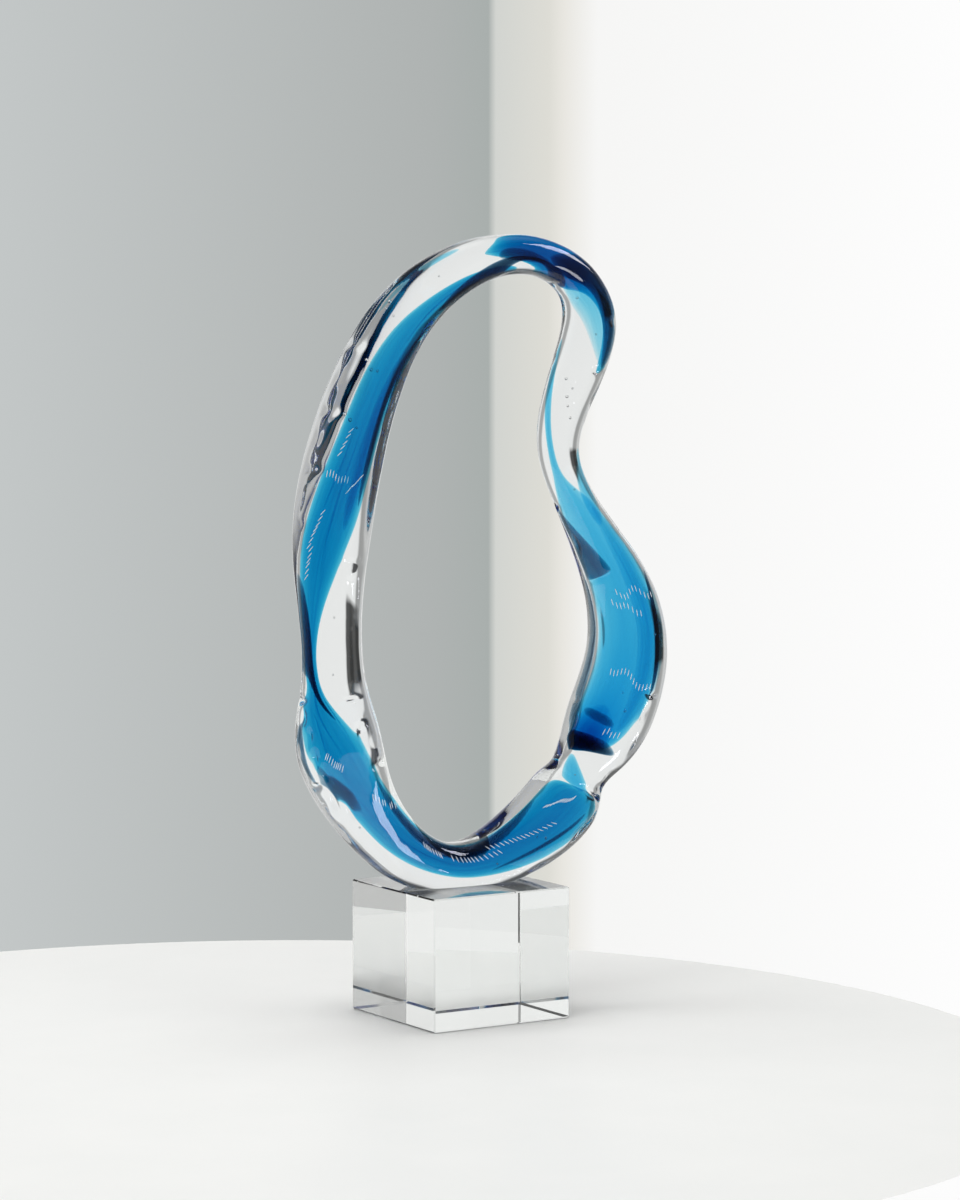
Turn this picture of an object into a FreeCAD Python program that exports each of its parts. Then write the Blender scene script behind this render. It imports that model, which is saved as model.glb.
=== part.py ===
"""Glass wave sculpture: a hot-pulled clear ring with blue glass sealed inside, bonded to a clear block.

Frame: millimetres, +Z up, ring plane on X and Z, origin at the middle of the block's underside.
"""
import math
import os

import FreeCAD
import Part

# Driving lengths
block_side = 80.0
block_height = 66.5
block_edge_chamfer = 0.7
bond_thickness = 0.25
ring_width = 214.0
ring_height = 327.0
rod_thickness = 30.0
rod_depth = 27.0
overrun = 10.0

# Stations of the rod, from the seat up the left side, over the crown and down the belly.
# across: share of ring_width from the block's middle; up: share of ring_height over the seat;
# thickness and depth: shares of the rod's; corner: how square the section is; turn: share of a
# full turn that the section lies out of the ring's plane
ring_station_shares = (
    (-0.020, 0.014, 0.90, 1.06, 0.86, 0.000),
    (-0.160, 0.047, 1.06, 1.06, 0.86, 0.000),
    (-0.263, 0.120, 1.20, 1.06, 0.86, 0.010),
    (-0.326, 0.200, 1.58, 1.10, 0.86, 0.050),
    (-0.339, 0.262, 1.46, 1.06, 0.88, 0.075),
    (-0.344, 0.320, 1.05, 0.98, 0.90, 0.085),
    (-0.350, 0.400, 1.00, 0.96, 0.92, 0.085),
    (-0.356, 0.480, 1.19, 1.00, 0.94, 0.070),
    (-0.350, 0.550, 1.31, 1.04, 0.96, 0.035),
    (-0.329, 0.630, 1.26, 1.04, 1.00, 0.000),
    (-0.289, 0.720, 1.16, 1.02, 1.00, -0.010),
    (-0.231, 0.808, 1.06, 0.98, 0.98, -0.010),
    (-0.156, 0.880, 1.01, 0.96, 0.94, 0.000),
    (-0.048, 0.935, 0.90, 0.94, 0.88, 0.000),
    (0.082, 0.968, 0.76, 0.92, 0.86, 0.000),
    (0.220, 0.969, 0.70, 0.90, 0.84, 0.000),
    (0.334, 0.932, 0.78, 0.90, 0.84, -0.030),
    (0.380, 0.860, 1.10, 0.96, 0.84, -0.060),
    (0.311, 0.763, 0.95, 0.92, 0.82, -0.085),
    (0.258, 0.675, 0.79, 0.86, 0.80, -0.085),
    (0.305, 0.597, 0.68, 0.84, 0.80, -0.085),
    (0.406, 0.500, 1.00, 0.94, 0.84, -0.060),
    (0.470, 0.420, 1.36, 1.04, 0.88, -0.045),
    (0.482, 0.330, 1.51, 1.08, 0.90, -0.040),
    (0.426, 0.242, 1.60, 1.08, 0.90, -0.040),
    (0.375, 0.190, 1.31, 1.04, 0.88, -0.040),
    (0.328, 0.155, 0.85, 1.00, 0.86, -0.020),
    (0.308, 0.124, 1.52, 1.06, 0.84, 0.000),
    (0.227, 0.076, 1.38, 1.06, 0.86, 0.000),
    (0.106, 0.036, 1.10, 1.06, 0.86, 0.000),
)

# Stations of the blue glass, in the rod's turned section. place: station number along the
# ring; out: share of the rod's half thickness, away from the hole; back: share of its half
# depth, away from the front; wide and deep: half sizes as shares of the same
long_ribbon_shares = (
    (14.40, -0.52, -0.34, 0.05, 0.10),
    (14.20, -0.50, -0.40, 0.12, 0.26),
    (13.90, -0.48, -0.46, 0.18, 0.34),
    (13.30, -0.42, -0.50, 0.24, 0.32),
    (12.70, -0.36, -0.54, 0.32, 0.28),
    (12.00, -0.28, -0.56, 0.45, 0.26),
    (11.40, -0.15, -0.56, 0.56, 0.26),
    (10.70, -0.03, -0.56, 0.58, 0.26),
    (10.00, 0.02, -0.56, 0.60, 0.26),
    (9.40, 0.06, -0.56, 0.64, 0.26),
    (8.80, 0.12, -0.54, 0.68, 0.26),
    (8.20, 0.18, -0.48, 0.70, 0.26),
    (7.70, 0.28, -0.40, 0.64, 0.27),
    (7.10, 0.38, -0.36, 0.52, 0.28),
    (6.50, 0.50, -0.28, 0.30, 0.30),
    (5.90, 0.60, -0.20, 0.15, 0.34),
    (5.30, 0.60, -0.20, 0.14, 0.34),
    (4.80, 0.50, -0.24, 0.18, 0.34),
    (4.40, 0.38, -0.32, 0.34, 0.32),
    (4.00, 0.22, -0.42, 0.54, 0.30),
    (3.50, 0.06, -0.46, 0.62, 0.32),
    (2.90, -0.05, -0.46, 0.61, 0.34),
    (2.20, -0.10, -0.44, 0.62, 0.37),
    (1.50, -0.12, -0.42, 0.64, 0.40),
    (0.80, -0.20, -0.40, 0.60, 0.42),
    (0.00, -0.22, -0.40, 0.62, 0.44),
    (-0.80, -0.19, -0.40, 0.70, 0.43),
    (-1.50, -0.12, -0.40, 0.80, 0.42),
    (-2.20, -0.08, -0.40, 0.86, 0.40),
    (-2.80, -0.07, -0.40, 0.86, 0.38),
    (-3.12, 0.04, -0.40, 0.74, 0.34),
    (-3.28, 0.18, -0.38, 0.48, 0.22),
    (-3.33, 0.24, -0.36, 0.22, 0.10),
)
crown_ribbon_shares = (
    (13.86, 0.26, -0.26, 0.12, 0.12),
    (13.94, 0.26, -0.26, 0.32, 0.42),
    (14.30, 0.22, -0.20, 0.48, 0.62),
    (14.90, 0.18, -0.16, 0.54, 0.68),
    (15.40, 0.13, -0.14, 0.66, 0.68),
    (15.90, 0.06, -0.16, 0.76, 0.62),
    (16.30, 0.04, -0.20, 0.74, 0.52),
    (16.70, 0.18, -0.24, 0.58, 0.46),
    (17.05, 0.38, -0.26, 0.40, 0.44),
    (17.35, 0.53, -0.26, 0.24, 0.42),
    (17.62, 0.60, -0.24, 0.16, 0.36),
    (17.74, 0.62, -0.24, 0.08, 0.14),
)
belly_ribbon_shares = (
    (17.30, -0.78, -0.10, 0.06, 0.14),
    (17.80, -0.78, -0.16, 0.10, 0.24),
    (18.20, -0.72, -0.26, 0.12, 0.28),
    (18.70, -0.54, -0.38, 0.13, 0.28),
    (19.20, -0.34, -0.44, 0.14, 0.28),
    (19.60, -0.28, -0.44, 0.20, 0.28),
    (19.95, -0.14, -0.44, 0.62, 0.29),
    (20.30, -0.02, -0.44, 0.86, 0.30),
    (21.00, 0.00, -0.44, 0.92, 0.30),
    (21.60, -0.02, -0.46, 0.91, 0.30),
    (22.30, -0.05, -0.48, 0.88, 0.31),
    (23.00, -0.07, -0.48, 0.88, 0.33),
    (23.60, -0.12, -0.46, 0.82, 0.37),
    (24.10, -0.20, -0.40, 0.76, 0.44),
    (24.60, -0.26, -0.34, 0.70, 0.54),
    (25.00, -0.36, -0.28, 0.56, 0.58),
    (25.28, -0.54, -0.26, 0.34, 0.50),
    (25.46, -0.64, -0.26, 0.16, 0.30),
    (25.52, -0.66, -0.26, 0.07, 0.12),
)
fold_wedge_shares = (
    (25.66, -0.58, -0.40, 0.05, 0.08),
    (25.78, -0.52, -0.42, 0.12, 0.16),
    (26.10, -0.34, -0.44, 0.28, 0.20),
    (26.42, -0.16, -0.44, 0.46, 0.22),
    (26.54, -0.10, -0.44, 0.46, 0.20),
    (26.58, -0.12, -0.42, 0.24, 0.08),
)
ribbon_corner_share = 0.72
tangent_reach_share = 0.5

# What follows from the sizes, and the degree of every skin
seat_height = block_height + bond_thickness
cubic = 3


def slab(bottom, top):
    """A plate wide enough to cut the whole ring between two heights."""
    reach = ring_width + block_side + overrun
    corner = FreeCAD.Vector(-reach, -reach, bottom)
    return Part.makeBox(reach + reach, reach + reach, top - bottom, corner)


def cubic_weights(step):
    """The four weights of a uniform cubic spline at a fraction of a span."""
    rest = 1 - step
    first = rest ** 3 / 6
    second = (3 * step ** 3 - 6 * step ** 2 + 4) / 6
    third = (3 * rest ** 3 - 6 * rest ** 2 + 4) / 6
    return first, second, third, step ** 3 / 6


def blended(values, place):
    """Value of a closed uniform cubic spline through the stations' values."""
    whole = int(place // 1)
    weights = cubic_weights(place - whole)
    count = len(values)
    total = values[0] * 0
    for offset, weight in enumerate(weights):
        total = total + values[(whole + offset - 1) % count] * weight
    return total


def station_centres():
    """Middle of the rod at every station."""
    centres = []
    for across, up, *_ in ring_station_shares:
        centres.append(FreeCAD.Vector(across * ring_width, 0, seat_height + up * ring_height))
    return centres


def section_axes(run, turn):
    """Two directions of a section: away from the ring's hole, and to the back, both turned."""
    out = FreeCAD.Vector(-run.z, 0, run.x).normalize()
    back = FreeCAD.Vector(0, 1, 0)
    angle = math.tau * turn
    turned_out = out * math.cos(angle) + back * math.sin(angle)
    turned_back = back * math.cos(angle) - out * math.sin(angle)
    return turned_out, turned_back


def section_poles(centre, axes, half_thickness, half_depth, corner):
    """Eight poles of a rounded section: its thickness on the first axis, its depth on the second."""
    out, back = axes
    spots = (
        (1, 0), (corner, corner), (0, 1), (-corner, corner),
        (-1, 0), (-corner, -corner), (0, -1), (corner, -corner),
    )
    poles = []
    for along_out, along_back in spots:
        poles.append(centre + out * (half_thickness * along_out) + back * (half_depth * along_back))
    return poles


def ring_body():
    """The whole rod, closed on itself, before its foot is ground flat."""
    centres = station_centres()
    count = len(centres)
    rows = []
    for number, (_, _, thickness, depth, corner, turn) in enumerate(ring_station_shares):
        axes = section_axes(centres[(number + 1) % count] - centres[number - 1], turn)
        half_thickness = thickness * rod_thickness / 2
        half_depth = depth * rod_depth / 2
        rows.append(section_poles(centres[number], axes, half_thickness, half_depth, corner))
    spots = len(rows[0])
    skin = Part.BSplineSurface()
    skin.buildFromPolesMultsKnots(
        rows, [1] * (count + 1), [1] * (spots + 1),
        list(range(count + 1)), list(range(spots + 1)), True, True, cubic, cubic,
    )
    return outward_facing(Part.Solid(Part.Shell([skin.toShape()])))


def outward_facing(solid):
    """The solid with its faces turned outwards."""
    if solid.Volume < 0:
        solid.reverse()
    return solid


def ribbon(shares):
    """A strip of blue glass inside the rod, round at both ends."""
    centres = station_centres()
    thicknesses, depths, corners, turns = list(zip(*ring_station_shares))[2:]
    rows = []
    for place, out_share, back_share, wide, deep in shares:
        ahead = blended(centres, place + tangent_reach_share)
        behind = blended(centres, place - tangent_reach_share)
        out, back = section_axes(ahead - behind, blended(turns, place))
        fill = (4 + 2 * blended(corners, place)) / 6
        half_thickness = fill * blended(thicknesses, place) * rod_thickness / 2
        half_depth = fill * blended(depths, place) * rod_depth / 2
        centre = blended(centres, place) + out * (out_share * half_thickness)
        centre = centre + back * (back_share * half_depth)
        rows.append(section_poles(
            centre, (out, back), wide * half_thickness, deep * half_depth, ribbon_corner_share,
        ))
    return capped_skin(rows)


def capped_skin(rows):
    """A solid skinned along the rows of poles, with a flat face on its first and last row."""
    count = len(rows)
    spots = len(rows[0])
    skin = Part.BSplineSurface()
    inner_knots = count - cubic - 1
    skin.buildFromPolesMultsKnots(
        rows, [cubic + 1] + [1] * inner_knots + [cubic + 1], [1] * (spots + 1),
        list(range(inner_knots + 2)), list(range(spots + 1)), False, True, cubic, cubic,
    )
    side = skin.toShape()
    ends = []
    for edge in side.Edges:
        if edge.isClosed():
            ends.append(Part.Face(Part.Wire([edge])))
    shell = Part.Shell([side] + ends)
    shell.sewShape()
    return outward_facing(Part.Solid(Part.Shell(shell.Faces)))


def crystal_base():
    """The square block, with every edge lightly chamfered."""
    corner = FreeCAD.Vector(-block_side / 2, -block_side / 2, 0)
    block = Part.makeBox(block_side, block_side, block_height, corner)
    return block.makeChamfer(block_edge_chamfer, block.Edges).Solids[0]


def glue_film(body):
    """The film of adhesive, with the outline of the ring's ground seat."""
    return body.common(slab(block_height, seat_height)).Solids[0]


def clear_casing(body, blue_pieces):
    """The clear glass: ground flat at the foot, hollow where the blue glass lies."""
    casing = body.cut(slab(block_height - ring_height, seat_height))
    for piece in blue_pieces:
        casing = casing.cut(piece)
    return casing.Solids[0]


def main():
    """Build every piece and save each as its own node."""
    os.makedirs("parts", exist_ok=True)
    body = ring_body()
    blue = {
        "long_ribbon": ribbon(long_ribbon_shares),
        "crown_ribbon": ribbon(crown_ribbon_shares),
        "belly_ribbon": ribbon(belly_ribbon_shares),
        "fold_wedge": ribbon(fold_wedge_shares),
    }
    pieces = {
        "crystal_base": crystal_base(),
        "glue_film": glue_film(body),
        "clear_casing": clear_casing(body, blue.values()),
    }
    pieces.update(blue)
    for name, shape in pieces.items():
        shape.exportStep("parts/" + name + ".step")
        print(name, shape.ShapeType, shape.isValid(), round(shape.Volume), shape.BoundBox)


main()
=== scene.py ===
"""Glass wave sculpture: a hot-pulled clear ring with blue glass in it, bonded to a crystal block.

Everything is in metres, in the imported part's own frame: the ring's plane is X and Z, and its
front faces -Y.
"""
import logging
import math
import random
from dataclasses import dataclass
from enum import Enum

import bmesh
import bpy
from mathutils import Matrix, Vector, noise
from mathutils.bvhtree import BVHTree
from mathutils.kdtree import KDTree


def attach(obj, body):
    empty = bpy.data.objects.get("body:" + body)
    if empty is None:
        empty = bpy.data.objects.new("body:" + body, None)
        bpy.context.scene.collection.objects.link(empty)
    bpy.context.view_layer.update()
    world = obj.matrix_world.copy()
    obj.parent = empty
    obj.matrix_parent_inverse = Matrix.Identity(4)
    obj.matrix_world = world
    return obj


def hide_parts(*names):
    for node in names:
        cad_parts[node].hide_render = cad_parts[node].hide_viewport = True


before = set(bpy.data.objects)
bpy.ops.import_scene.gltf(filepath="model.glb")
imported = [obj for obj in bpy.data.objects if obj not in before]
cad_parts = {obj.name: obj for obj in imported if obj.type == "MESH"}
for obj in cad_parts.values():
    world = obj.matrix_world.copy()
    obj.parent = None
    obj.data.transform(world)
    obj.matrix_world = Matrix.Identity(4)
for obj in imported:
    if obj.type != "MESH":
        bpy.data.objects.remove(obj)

log = logging.getLogger("glass_wave")

RodRow = tuple[float, float, float, float, float, float]
StripRow = tuple[float, float, float, float, float]
BubbleRow = tuple[float, float, float, float]
SectionSizes = tuple[float, float, float, float]
Triple = tuple[float, float, float]
Pair = tuple[float, float]
Shade = tuple[float, float, float, float]

MM_PER_M = 1000
BLOCK_HEIGHT = 0.0665
BOND_THICKNESS = 0.00025
# Distances below these count as none: where a plane cuts, and where two values are compared
CUT_SLACK = 1e-7
NEAR_ZERO = 1e-6
HALF_TURN_DEG = 180.0
# Mean length of one station of the rod, and of one turn round it, for patterns on its map
STATION_MM = 30.0
GIRTH_MM = 88.0

# Stations of the rod, from the seat up the left side, over the crown and down the belly:
# across (share of the ring's width), up (share of its height over the seat), thickness and
# depth (shares of the rod's own), how square the section is, and how far it is turned from
# the ring's plane, as a share of a full turn
ROD_STATIONS: tuple[RodRow, ...] = (
    (-0.020, 0.014, 0.90, 1.06, 0.86, 0.000),
    (-0.160, 0.047, 1.06, 1.06, 0.86, 0.000),
    (-0.263, 0.120, 1.20, 1.06, 0.86, 0.010),
    (-0.326, 0.200, 1.58, 1.10, 0.86, 0.050),
    (-0.339, 0.262, 1.46, 1.06, 0.88, 0.075),
    (-0.344, 0.320, 1.05, 0.98, 0.90, 0.085),
    (-0.350, 0.400, 1.00, 0.96, 0.92, 0.085),
    (-0.356, 0.480, 1.19, 1.00, 0.94, 0.070),
    (-0.350, 0.550, 1.31, 1.04, 0.96, 0.035),
    (-0.329, 0.630, 1.26, 1.04, 1.00, 0.000),
    (-0.289, 0.720, 1.16, 1.02, 1.00, -0.010),
    (-0.231, 0.808, 1.06, 0.98, 0.98, -0.010),
    (-0.156, 0.880, 1.01, 0.96, 0.94, 0.000),
    (-0.048, 0.935, 0.90, 0.94, 0.88, 0.000),
    (0.082, 0.968, 0.76, 0.92, 0.86, 0.000),
    (0.220, 0.969, 0.70, 0.90, 0.84, 0.000),
    (0.334, 0.932, 0.78, 0.90, 0.84, -0.030),
    (0.380, 0.860, 1.10, 0.96, 0.84, -0.060),
    (0.311, 0.763, 0.95, 0.92, 0.82, -0.085),
    (0.258, 0.675, 0.79, 0.86, 0.80, -0.085),
    (0.305, 0.597, 0.68, 0.84, 0.80, -0.085),
    (0.406, 0.500, 1.00, 0.94, 0.84, -0.060),
    (0.470, 0.420, 1.36, 1.04, 0.88, -0.045),
    (0.482, 0.330, 1.51, 1.08, 0.90, -0.040),
    (0.426, 0.242, 1.60, 1.08, 0.90, -0.040),
    (0.375, 0.190, 1.31, 1.04, 0.88, -0.040),
    (0.328, 0.155, 0.85, 1.00, 0.86, -0.020),
    (0.308, 0.124, 1.52, 1.06, 0.84, 0.000),
    (0.227, 0.076, 1.38, 1.06, 0.86, 0.000),
    (0.106, 0.036, 1.10, 1.06, 0.86, 0.000),
)

# Stations of the blue glass: place along the ring, out and back (shares of the rod's half
# thickness and half depth), and the strip's own half width and half depth as such shares
LONG_RIBBON: tuple[StripRow, ...] = (
    (14.40, -0.52, -0.40, 0.05, 0.07),
    (14.20, -0.50, -0.46, 0.12, 0.17),
    (13.90, -0.48, -0.52, 0.18, 0.20),
    (13.30, -0.42, -0.56, 0.24, 0.20),
    (12.70, -0.36, -0.65, 0.32, 0.18),
    (12.00, -0.25, -0.66, 0.49, 0.18),
    (11.40, -0.11, -0.67, 0.61, 0.18),
    (10.70, 0.02, -0.67, 0.66, 0.19),
    (10.00, 0.06, -0.67, 0.65, 0.20),
    (9.40, 0.10, -0.67, 0.69, 0.20),
    (8.80, 0.16, -0.65, 0.72, 0.21),
    (8.20, 0.21, -0.63, 0.72, 0.21),
    (7.70, 0.30, -0.61, 0.66, 0.22),
    (7.10, 0.39, -0.59, 0.53, 0.22),
    (6.50, 0.50, -0.34, 0.30, 0.20),
    (5.90, 0.60, -0.26, 0.15, 0.22),
    (5.30, 0.60, -0.26, 0.14, 0.22),
    (4.80, 0.50, -0.30, 0.18, 0.20),
    (4.40, 0.44, -0.42, 0.44, 0.22),
    (4.00, 0.30, -0.52, 0.60, 0.20),
    (3.50, 0.16, -0.56, 0.74, 0.20),
    (3.00, 0.04, -0.56, 0.68, 0.20),
    (2.60, -0.04, -0.55, 0.60, 0.20),
    (2.20, -0.10, -0.54, 0.62, 0.21),
    (1.50, -0.12, -0.54, 0.64, 0.22),
    (0.80, -0.20, -0.52, 0.60, 0.23),
    (0.00, -0.22, -0.52, 0.62, 0.24),
    (-0.80, -0.19, -0.52, 0.70, 0.23),
    (-1.50, -0.12, -0.50, 0.80, 0.23),
    (-2.20, -0.08, -0.50, 0.86, 0.22),
    (-2.80, -0.07, -0.50, 0.86, 0.21),
    (-3.12, 0.04, -0.50, 0.74, 0.19),
    (-3.28, 0.18, -0.48, 0.48, 0.13),
    (-3.33, 0.24, -0.46, 0.22, 0.07),
)
CROWN_RIBBON: tuple[StripRow, ...] = (
    (13.76, 0.24, -0.30, 0.03, 0.05),
    (13.92, 0.26, -0.28, 0.20, 0.12),
    (14.14, 0.25, -0.24, 0.38, 0.26),
    (14.45, 0.22, -0.20, 0.48, 0.38),
    (14.90, 0.18, -0.16, 0.58, 0.42),
    (15.40, 0.13, -0.14, 0.68, 0.42),
    (15.80, 0.12, -0.16, 0.72, 0.36),
    (16.10, 0.28, -0.20, 0.54, 0.28),
    (16.40, 0.46, -0.24, 0.36, 0.22),
    (16.80, 0.58, -0.26, 0.22, 0.18),
    (17.20, 0.62, -0.26, 0.16, 0.16),
    (17.62, 0.62, -0.24, 0.12, 0.12),
    (17.74, 0.62, -0.24, 0.08, 0.10),
)
BELLY_RIBBON: tuple[StripRow, ...] = (
    (17.30, -0.78, -0.20, 0.06, 0.09),
    (17.80, -0.78, -0.26, 0.10, 0.16),
    (18.20, -0.72, -0.36, 0.12, 0.18),
    (18.70, -0.54, -0.48, 0.13, 0.18),
    (19.20, -0.34, -0.54, 0.14, 0.18),
    (19.60, -0.28, -0.54, 0.20, 0.18),
    (19.95, -0.14, -0.54, 0.62, 0.19),
    (20.30, -0.02, -0.54, 0.86, 0.20),
    (21.00, 0.00, -0.54, 0.92, 0.20),
    (21.60, -0.02, -0.56, 0.91, 0.20),
    (22.30, -0.05, -0.58, 0.88, 0.20),
    (23.00, -0.07, -0.58, 0.88, 0.22),
    (23.60, -0.12, -0.56, 0.82, 0.24),
    (24.10, -0.20, -0.50, 0.76, 0.29),
    (24.60, -0.26, -0.44, 0.70, 0.36),
    (25.00, -0.36, -0.38, 0.56, 0.38),
    (25.28, -0.54, -0.36, 0.34, 0.33),
    (25.46, -0.64, -0.36, 0.16, 0.20),
    (25.52, -0.66, -0.36, 0.07, 0.08),
)
FOLD_WEDGE: tuple[StripRow, ...] = (
    (25.62, -0.60, -0.40, 0.05, 0.06),
    (25.88, -0.52, -0.42, 0.22, 0.14),
    (26.28, -0.32, -0.44, 0.44, 0.16),
    (26.58, -0.14, -0.44, 0.56, 0.18),
    (26.70, -0.10, -0.44, 0.56, 0.16),
    (26.75, -0.10, -0.42, 0.36, 0.08),
)
# Paler strips, where the blue thins out beside the main ones
CROWN_TAIL: tuple[StripRow, ...] = (
    (15.50, -0.34, -0.34, 0.10, 0.06),
    (15.80, -0.26, -0.38, 0.54, 0.12),
    (16.20, -0.08, -0.40, 0.80, 0.14),
    (16.60, 0.10, -0.40, 0.76, 0.13),
    (17.00, 0.28, -0.40, 0.58, 0.11),
    (17.40, 0.50, -0.34, 0.32, 0.09),
    (17.60, 0.60, -0.30, 0.08, 0.04),
)
NECK_LIP: tuple[StripRow, ...] = (
    (19.10, 0.70, -0.24, 0.04, 0.05),
    (19.40, 0.68, -0.24, 0.16, 0.13),
    (19.80, 0.60, -0.28, 0.26, 0.15),
    (20.20, 0.50, -0.30, 0.30, 0.15),
    (20.60, 0.40, -0.30, 0.12, 0.06),
)
TOP_CRESCENT: tuple[StripRow, ...] = (
    (11.60, 0.78, -0.20, 0.02, 0.06),
    (12.20, 0.76, -0.20, 0.06, 0.14),
    (12.80, 0.70, -0.22, 0.08, 0.18),
    (13.20, 0.64, -0.22, 0.06, 0.14),
    (13.40, 0.60, -0.22, 0.02, 0.06),
)
# Broad soft shades, where a second layer of the blue lies over the first
BELLY_SHADE: tuple[StripRow, ...] = (
    (20.20, 0.50, -0.52, 0.10, 0.03),
    (20.90, 0.54, -0.52, 0.34, 0.07),
    (21.80, 0.52, -0.52, 0.42, 0.09),
    (22.60, 0.52, -0.52, 0.42, 0.10),
    (23.40, 0.46, -0.50, 0.36, 0.08),
    (24.00, 0.32, -0.48, 0.22, 0.05),
    (24.40, 0.20, -0.44, 0.06, 0.03),
)
BELLY_FOOT_SHADE: tuple[StripRow, ...] = (
    (23.95, -0.30, -0.46, 0.10, 0.02),
    (24.25, -0.34, -0.44, 0.46, 0.07),
    (24.60, -0.34, -0.42, 0.62, 0.16),
    (24.88, -0.34, -0.40, 0.62, 0.24),
    (25.12, -0.44, -0.38, 0.44, 0.16),
    (25.30, -0.56, -0.36, 0.10, 0.04),
)
LEFT_HOLE_SHADE: tuple[StripRow, ...] = (
    (12.20, -0.52, -0.52, 0.06, 0.03),
    (11.40, -0.46, -0.52, 0.20, 0.10),
    (10.40, -0.30, -0.52, 0.24, 0.13),
    (9.40, -0.24, -0.52, 0.26, 0.14),
    (8.60, -0.20, -0.52, 0.22, 0.10),
    (8.00, -0.16, -0.52, 0.06, 0.03),
)
# Dark streaks, where the blue glass is folded and many layers deep
CROWN_UNDERSIDE: tuple[StripRow, ...] = (
    (12.40, -0.62, -0.30, 0.04, 0.10),
    (13.00, -0.56, -0.34, 0.17, 0.22),
    (13.60, -0.52, -0.34, 0.27, 0.26),
    (13.95, -0.42, -0.32, 0.29, 0.28),
    (14.22, -0.26, -0.30, 0.21, 0.26),
    (14.46, -0.14, -0.30, 0.11, 0.24),
    (14.75, -0.08, -0.30, 0.08, 0.22),
    (15.05, -0.16, -0.32, 0.09, 0.26),
    (15.28, -0.30, -0.34, 0.17, 0.34),
    (15.45, -0.43, -0.34, 0.24, 0.34),
    (15.65, -0.52, -0.32, 0.22, 0.30),
    (15.80, -0.60, -0.30, 0.08, 0.14),
)
CROWN_BACK: tuple[StripRow, ...] = (
    (15.10, 0.10, -0.30, 0.05, 0.05),
    (15.30, 0.12, -0.30, 0.36, 0.18),
    (15.60, 0.18, -0.30, 0.50, 0.30),
    (15.90, 0.30, -0.28, 0.44, 0.30),
    (16.20, 0.48, -0.26, 0.32, 0.22),
    (16.60, 0.58, -0.26, 0.26, 0.15),
    (17.10, 0.64, -0.24, 0.19, 0.13),
    (17.40, 0.66, -0.22, 0.15, 0.13),
    (17.62, 0.64, -0.20, 0.04, 0.05),
)
CROWN_HEAD: tuple[StripRow, ...] = (
    (14.02, 0.02, -0.30, 0.04, 0.03),
    (14.14, 0.06, -0.30, 0.28, 0.12),
    (14.45, 0.02, -0.30, 0.30, 0.15),
    (14.85, -0.04, -0.30, 0.22, 0.13),
    (15.20, -0.12, -0.30, 0.04, 0.04),
)
LEFT_INNER_EDGE: tuple[StripRow, ...] = (
    (12.10, -0.66, -0.34, 0.02, 0.08),
    (11.50, -0.60, -0.36, 0.05, 0.20),
    (10.90, -0.50, -0.38, 0.06, 0.24),
    (10.20, -0.46, -0.38, 0.05, 0.22),
    (9.60, -0.46, -0.38, 0.06, 0.26),
    (9.00, -0.44, -0.38, 0.04, 0.22),
    (8.50, -0.44, -0.38, 0.02, 0.08),
)
LEFT_WAIST: tuple[StripRow, ...] = (
    (7.20, 0.76, -0.18, 0.03, 0.10),
    (6.50, 0.66, -0.18, 0.06, 0.26),
    (5.90, 0.63, -0.14, 0.07, 0.34),
    (5.30, 0.62, -0.14, 0.07, 0.34),
    (4.80, 0.50, -0.18, 0.07, 0.30),
    (4.40, 0.26, -0.24, 0.06, 0.24),
    (4.10, 0.00, -0.30, 0.02, 0.08),
)
LEFT_FOLD: tuple[StripRow, ...] = (
    (3.22, 0.60, -0.50, 0.05, 0.03),
    (3.02, 0.56, -0.48, 0.16, 0.10),
    (2.80, 0.44, -0.48, 0.20, 0.15),
    (2.60, 0.32, -0.50, 0.20, 0.15),
    (2.38, 0.26, -0.50, 0.14, 0.11),
    (2.18, 0.22, -0.50, 0.04, 0.03),
)
LEFT_RIM: tuple[StripRow, ...] = (
    (4.30, 0.78, -0.34, 0.02, 0.05),
    (3.95, 0.84, -0.32, 0.05, 0.14),
    (3.50, 0.86, -0.32, 0.05, 0.16),
    (3.10, 0.82, -0.36, 0.05, 0.14),
    (2.85, 0.74, -0.42, 0.02, 0.05),
)
FOOT_STREAK: tuple[StripRow, ...] = (
    (2.60, -0.52, -0.34, 0.02, 0.04),
    (2.00, -0.52, -0.34, 0.10, 0.13),
    (1.20, -0.50, -0.34, 0.13, 0.15),
    (0.50, -0.40, -0.30, 0.14, 0.17),
    (-0.20, -0.34, -0.30, 0.16, 0.18),
    (-0.90, -0.46, -0.30, 0.14, 0.16),
    (-1.60, -0.60, -0.30, 0.10, 0.13),
    (-2.20, -0.70, -0.30, 0.02, 0.04),
)
LOBE_STREAK: tuple[StripRow, ...] = (
    (-0.60, 0.24, -0.30, 0.02, 0.05),
    (-1.20, 0.28, -0.30, 0.05, 0.12),
    (-1.90, 0.38, -0.30, 0.06, 0.14),
    (-2.50, 0.48, -0.30, 0.05, 0.12),
    (-2.95, 0.54, -0.30, 0.02, 0.05),
)
BELLY_HEAD: tuple[StripRow, ...] = (
    (19.95, -0.80, -0.24, 0.04, 0.06),
    (20.20, -0.74, -0.30, 0.12, 0.14),
    (20.60, -0.60, -0.36, 0.24, 0.20),
    (21.00, -0.48, -0.38, 0.38, 0.18),
    (21.24, -0.42, -0.38, 0.44, 0.16),
    (21.29, -0.42, -0.38, 0.42, 0.09),
)
BELLY_FOLD: tuple[StripRow, ...] = (
    (24.14, -0.40, -0.44, 0.26, 0.04),
    (24.22, -0.34, -0.44, 0.42, 0.10),
    (24.32, -0.30, -0.44, 0.44, 0.10),
    (24.41, -0.32, -0.44, 0.34, 0.04),
)
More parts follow.
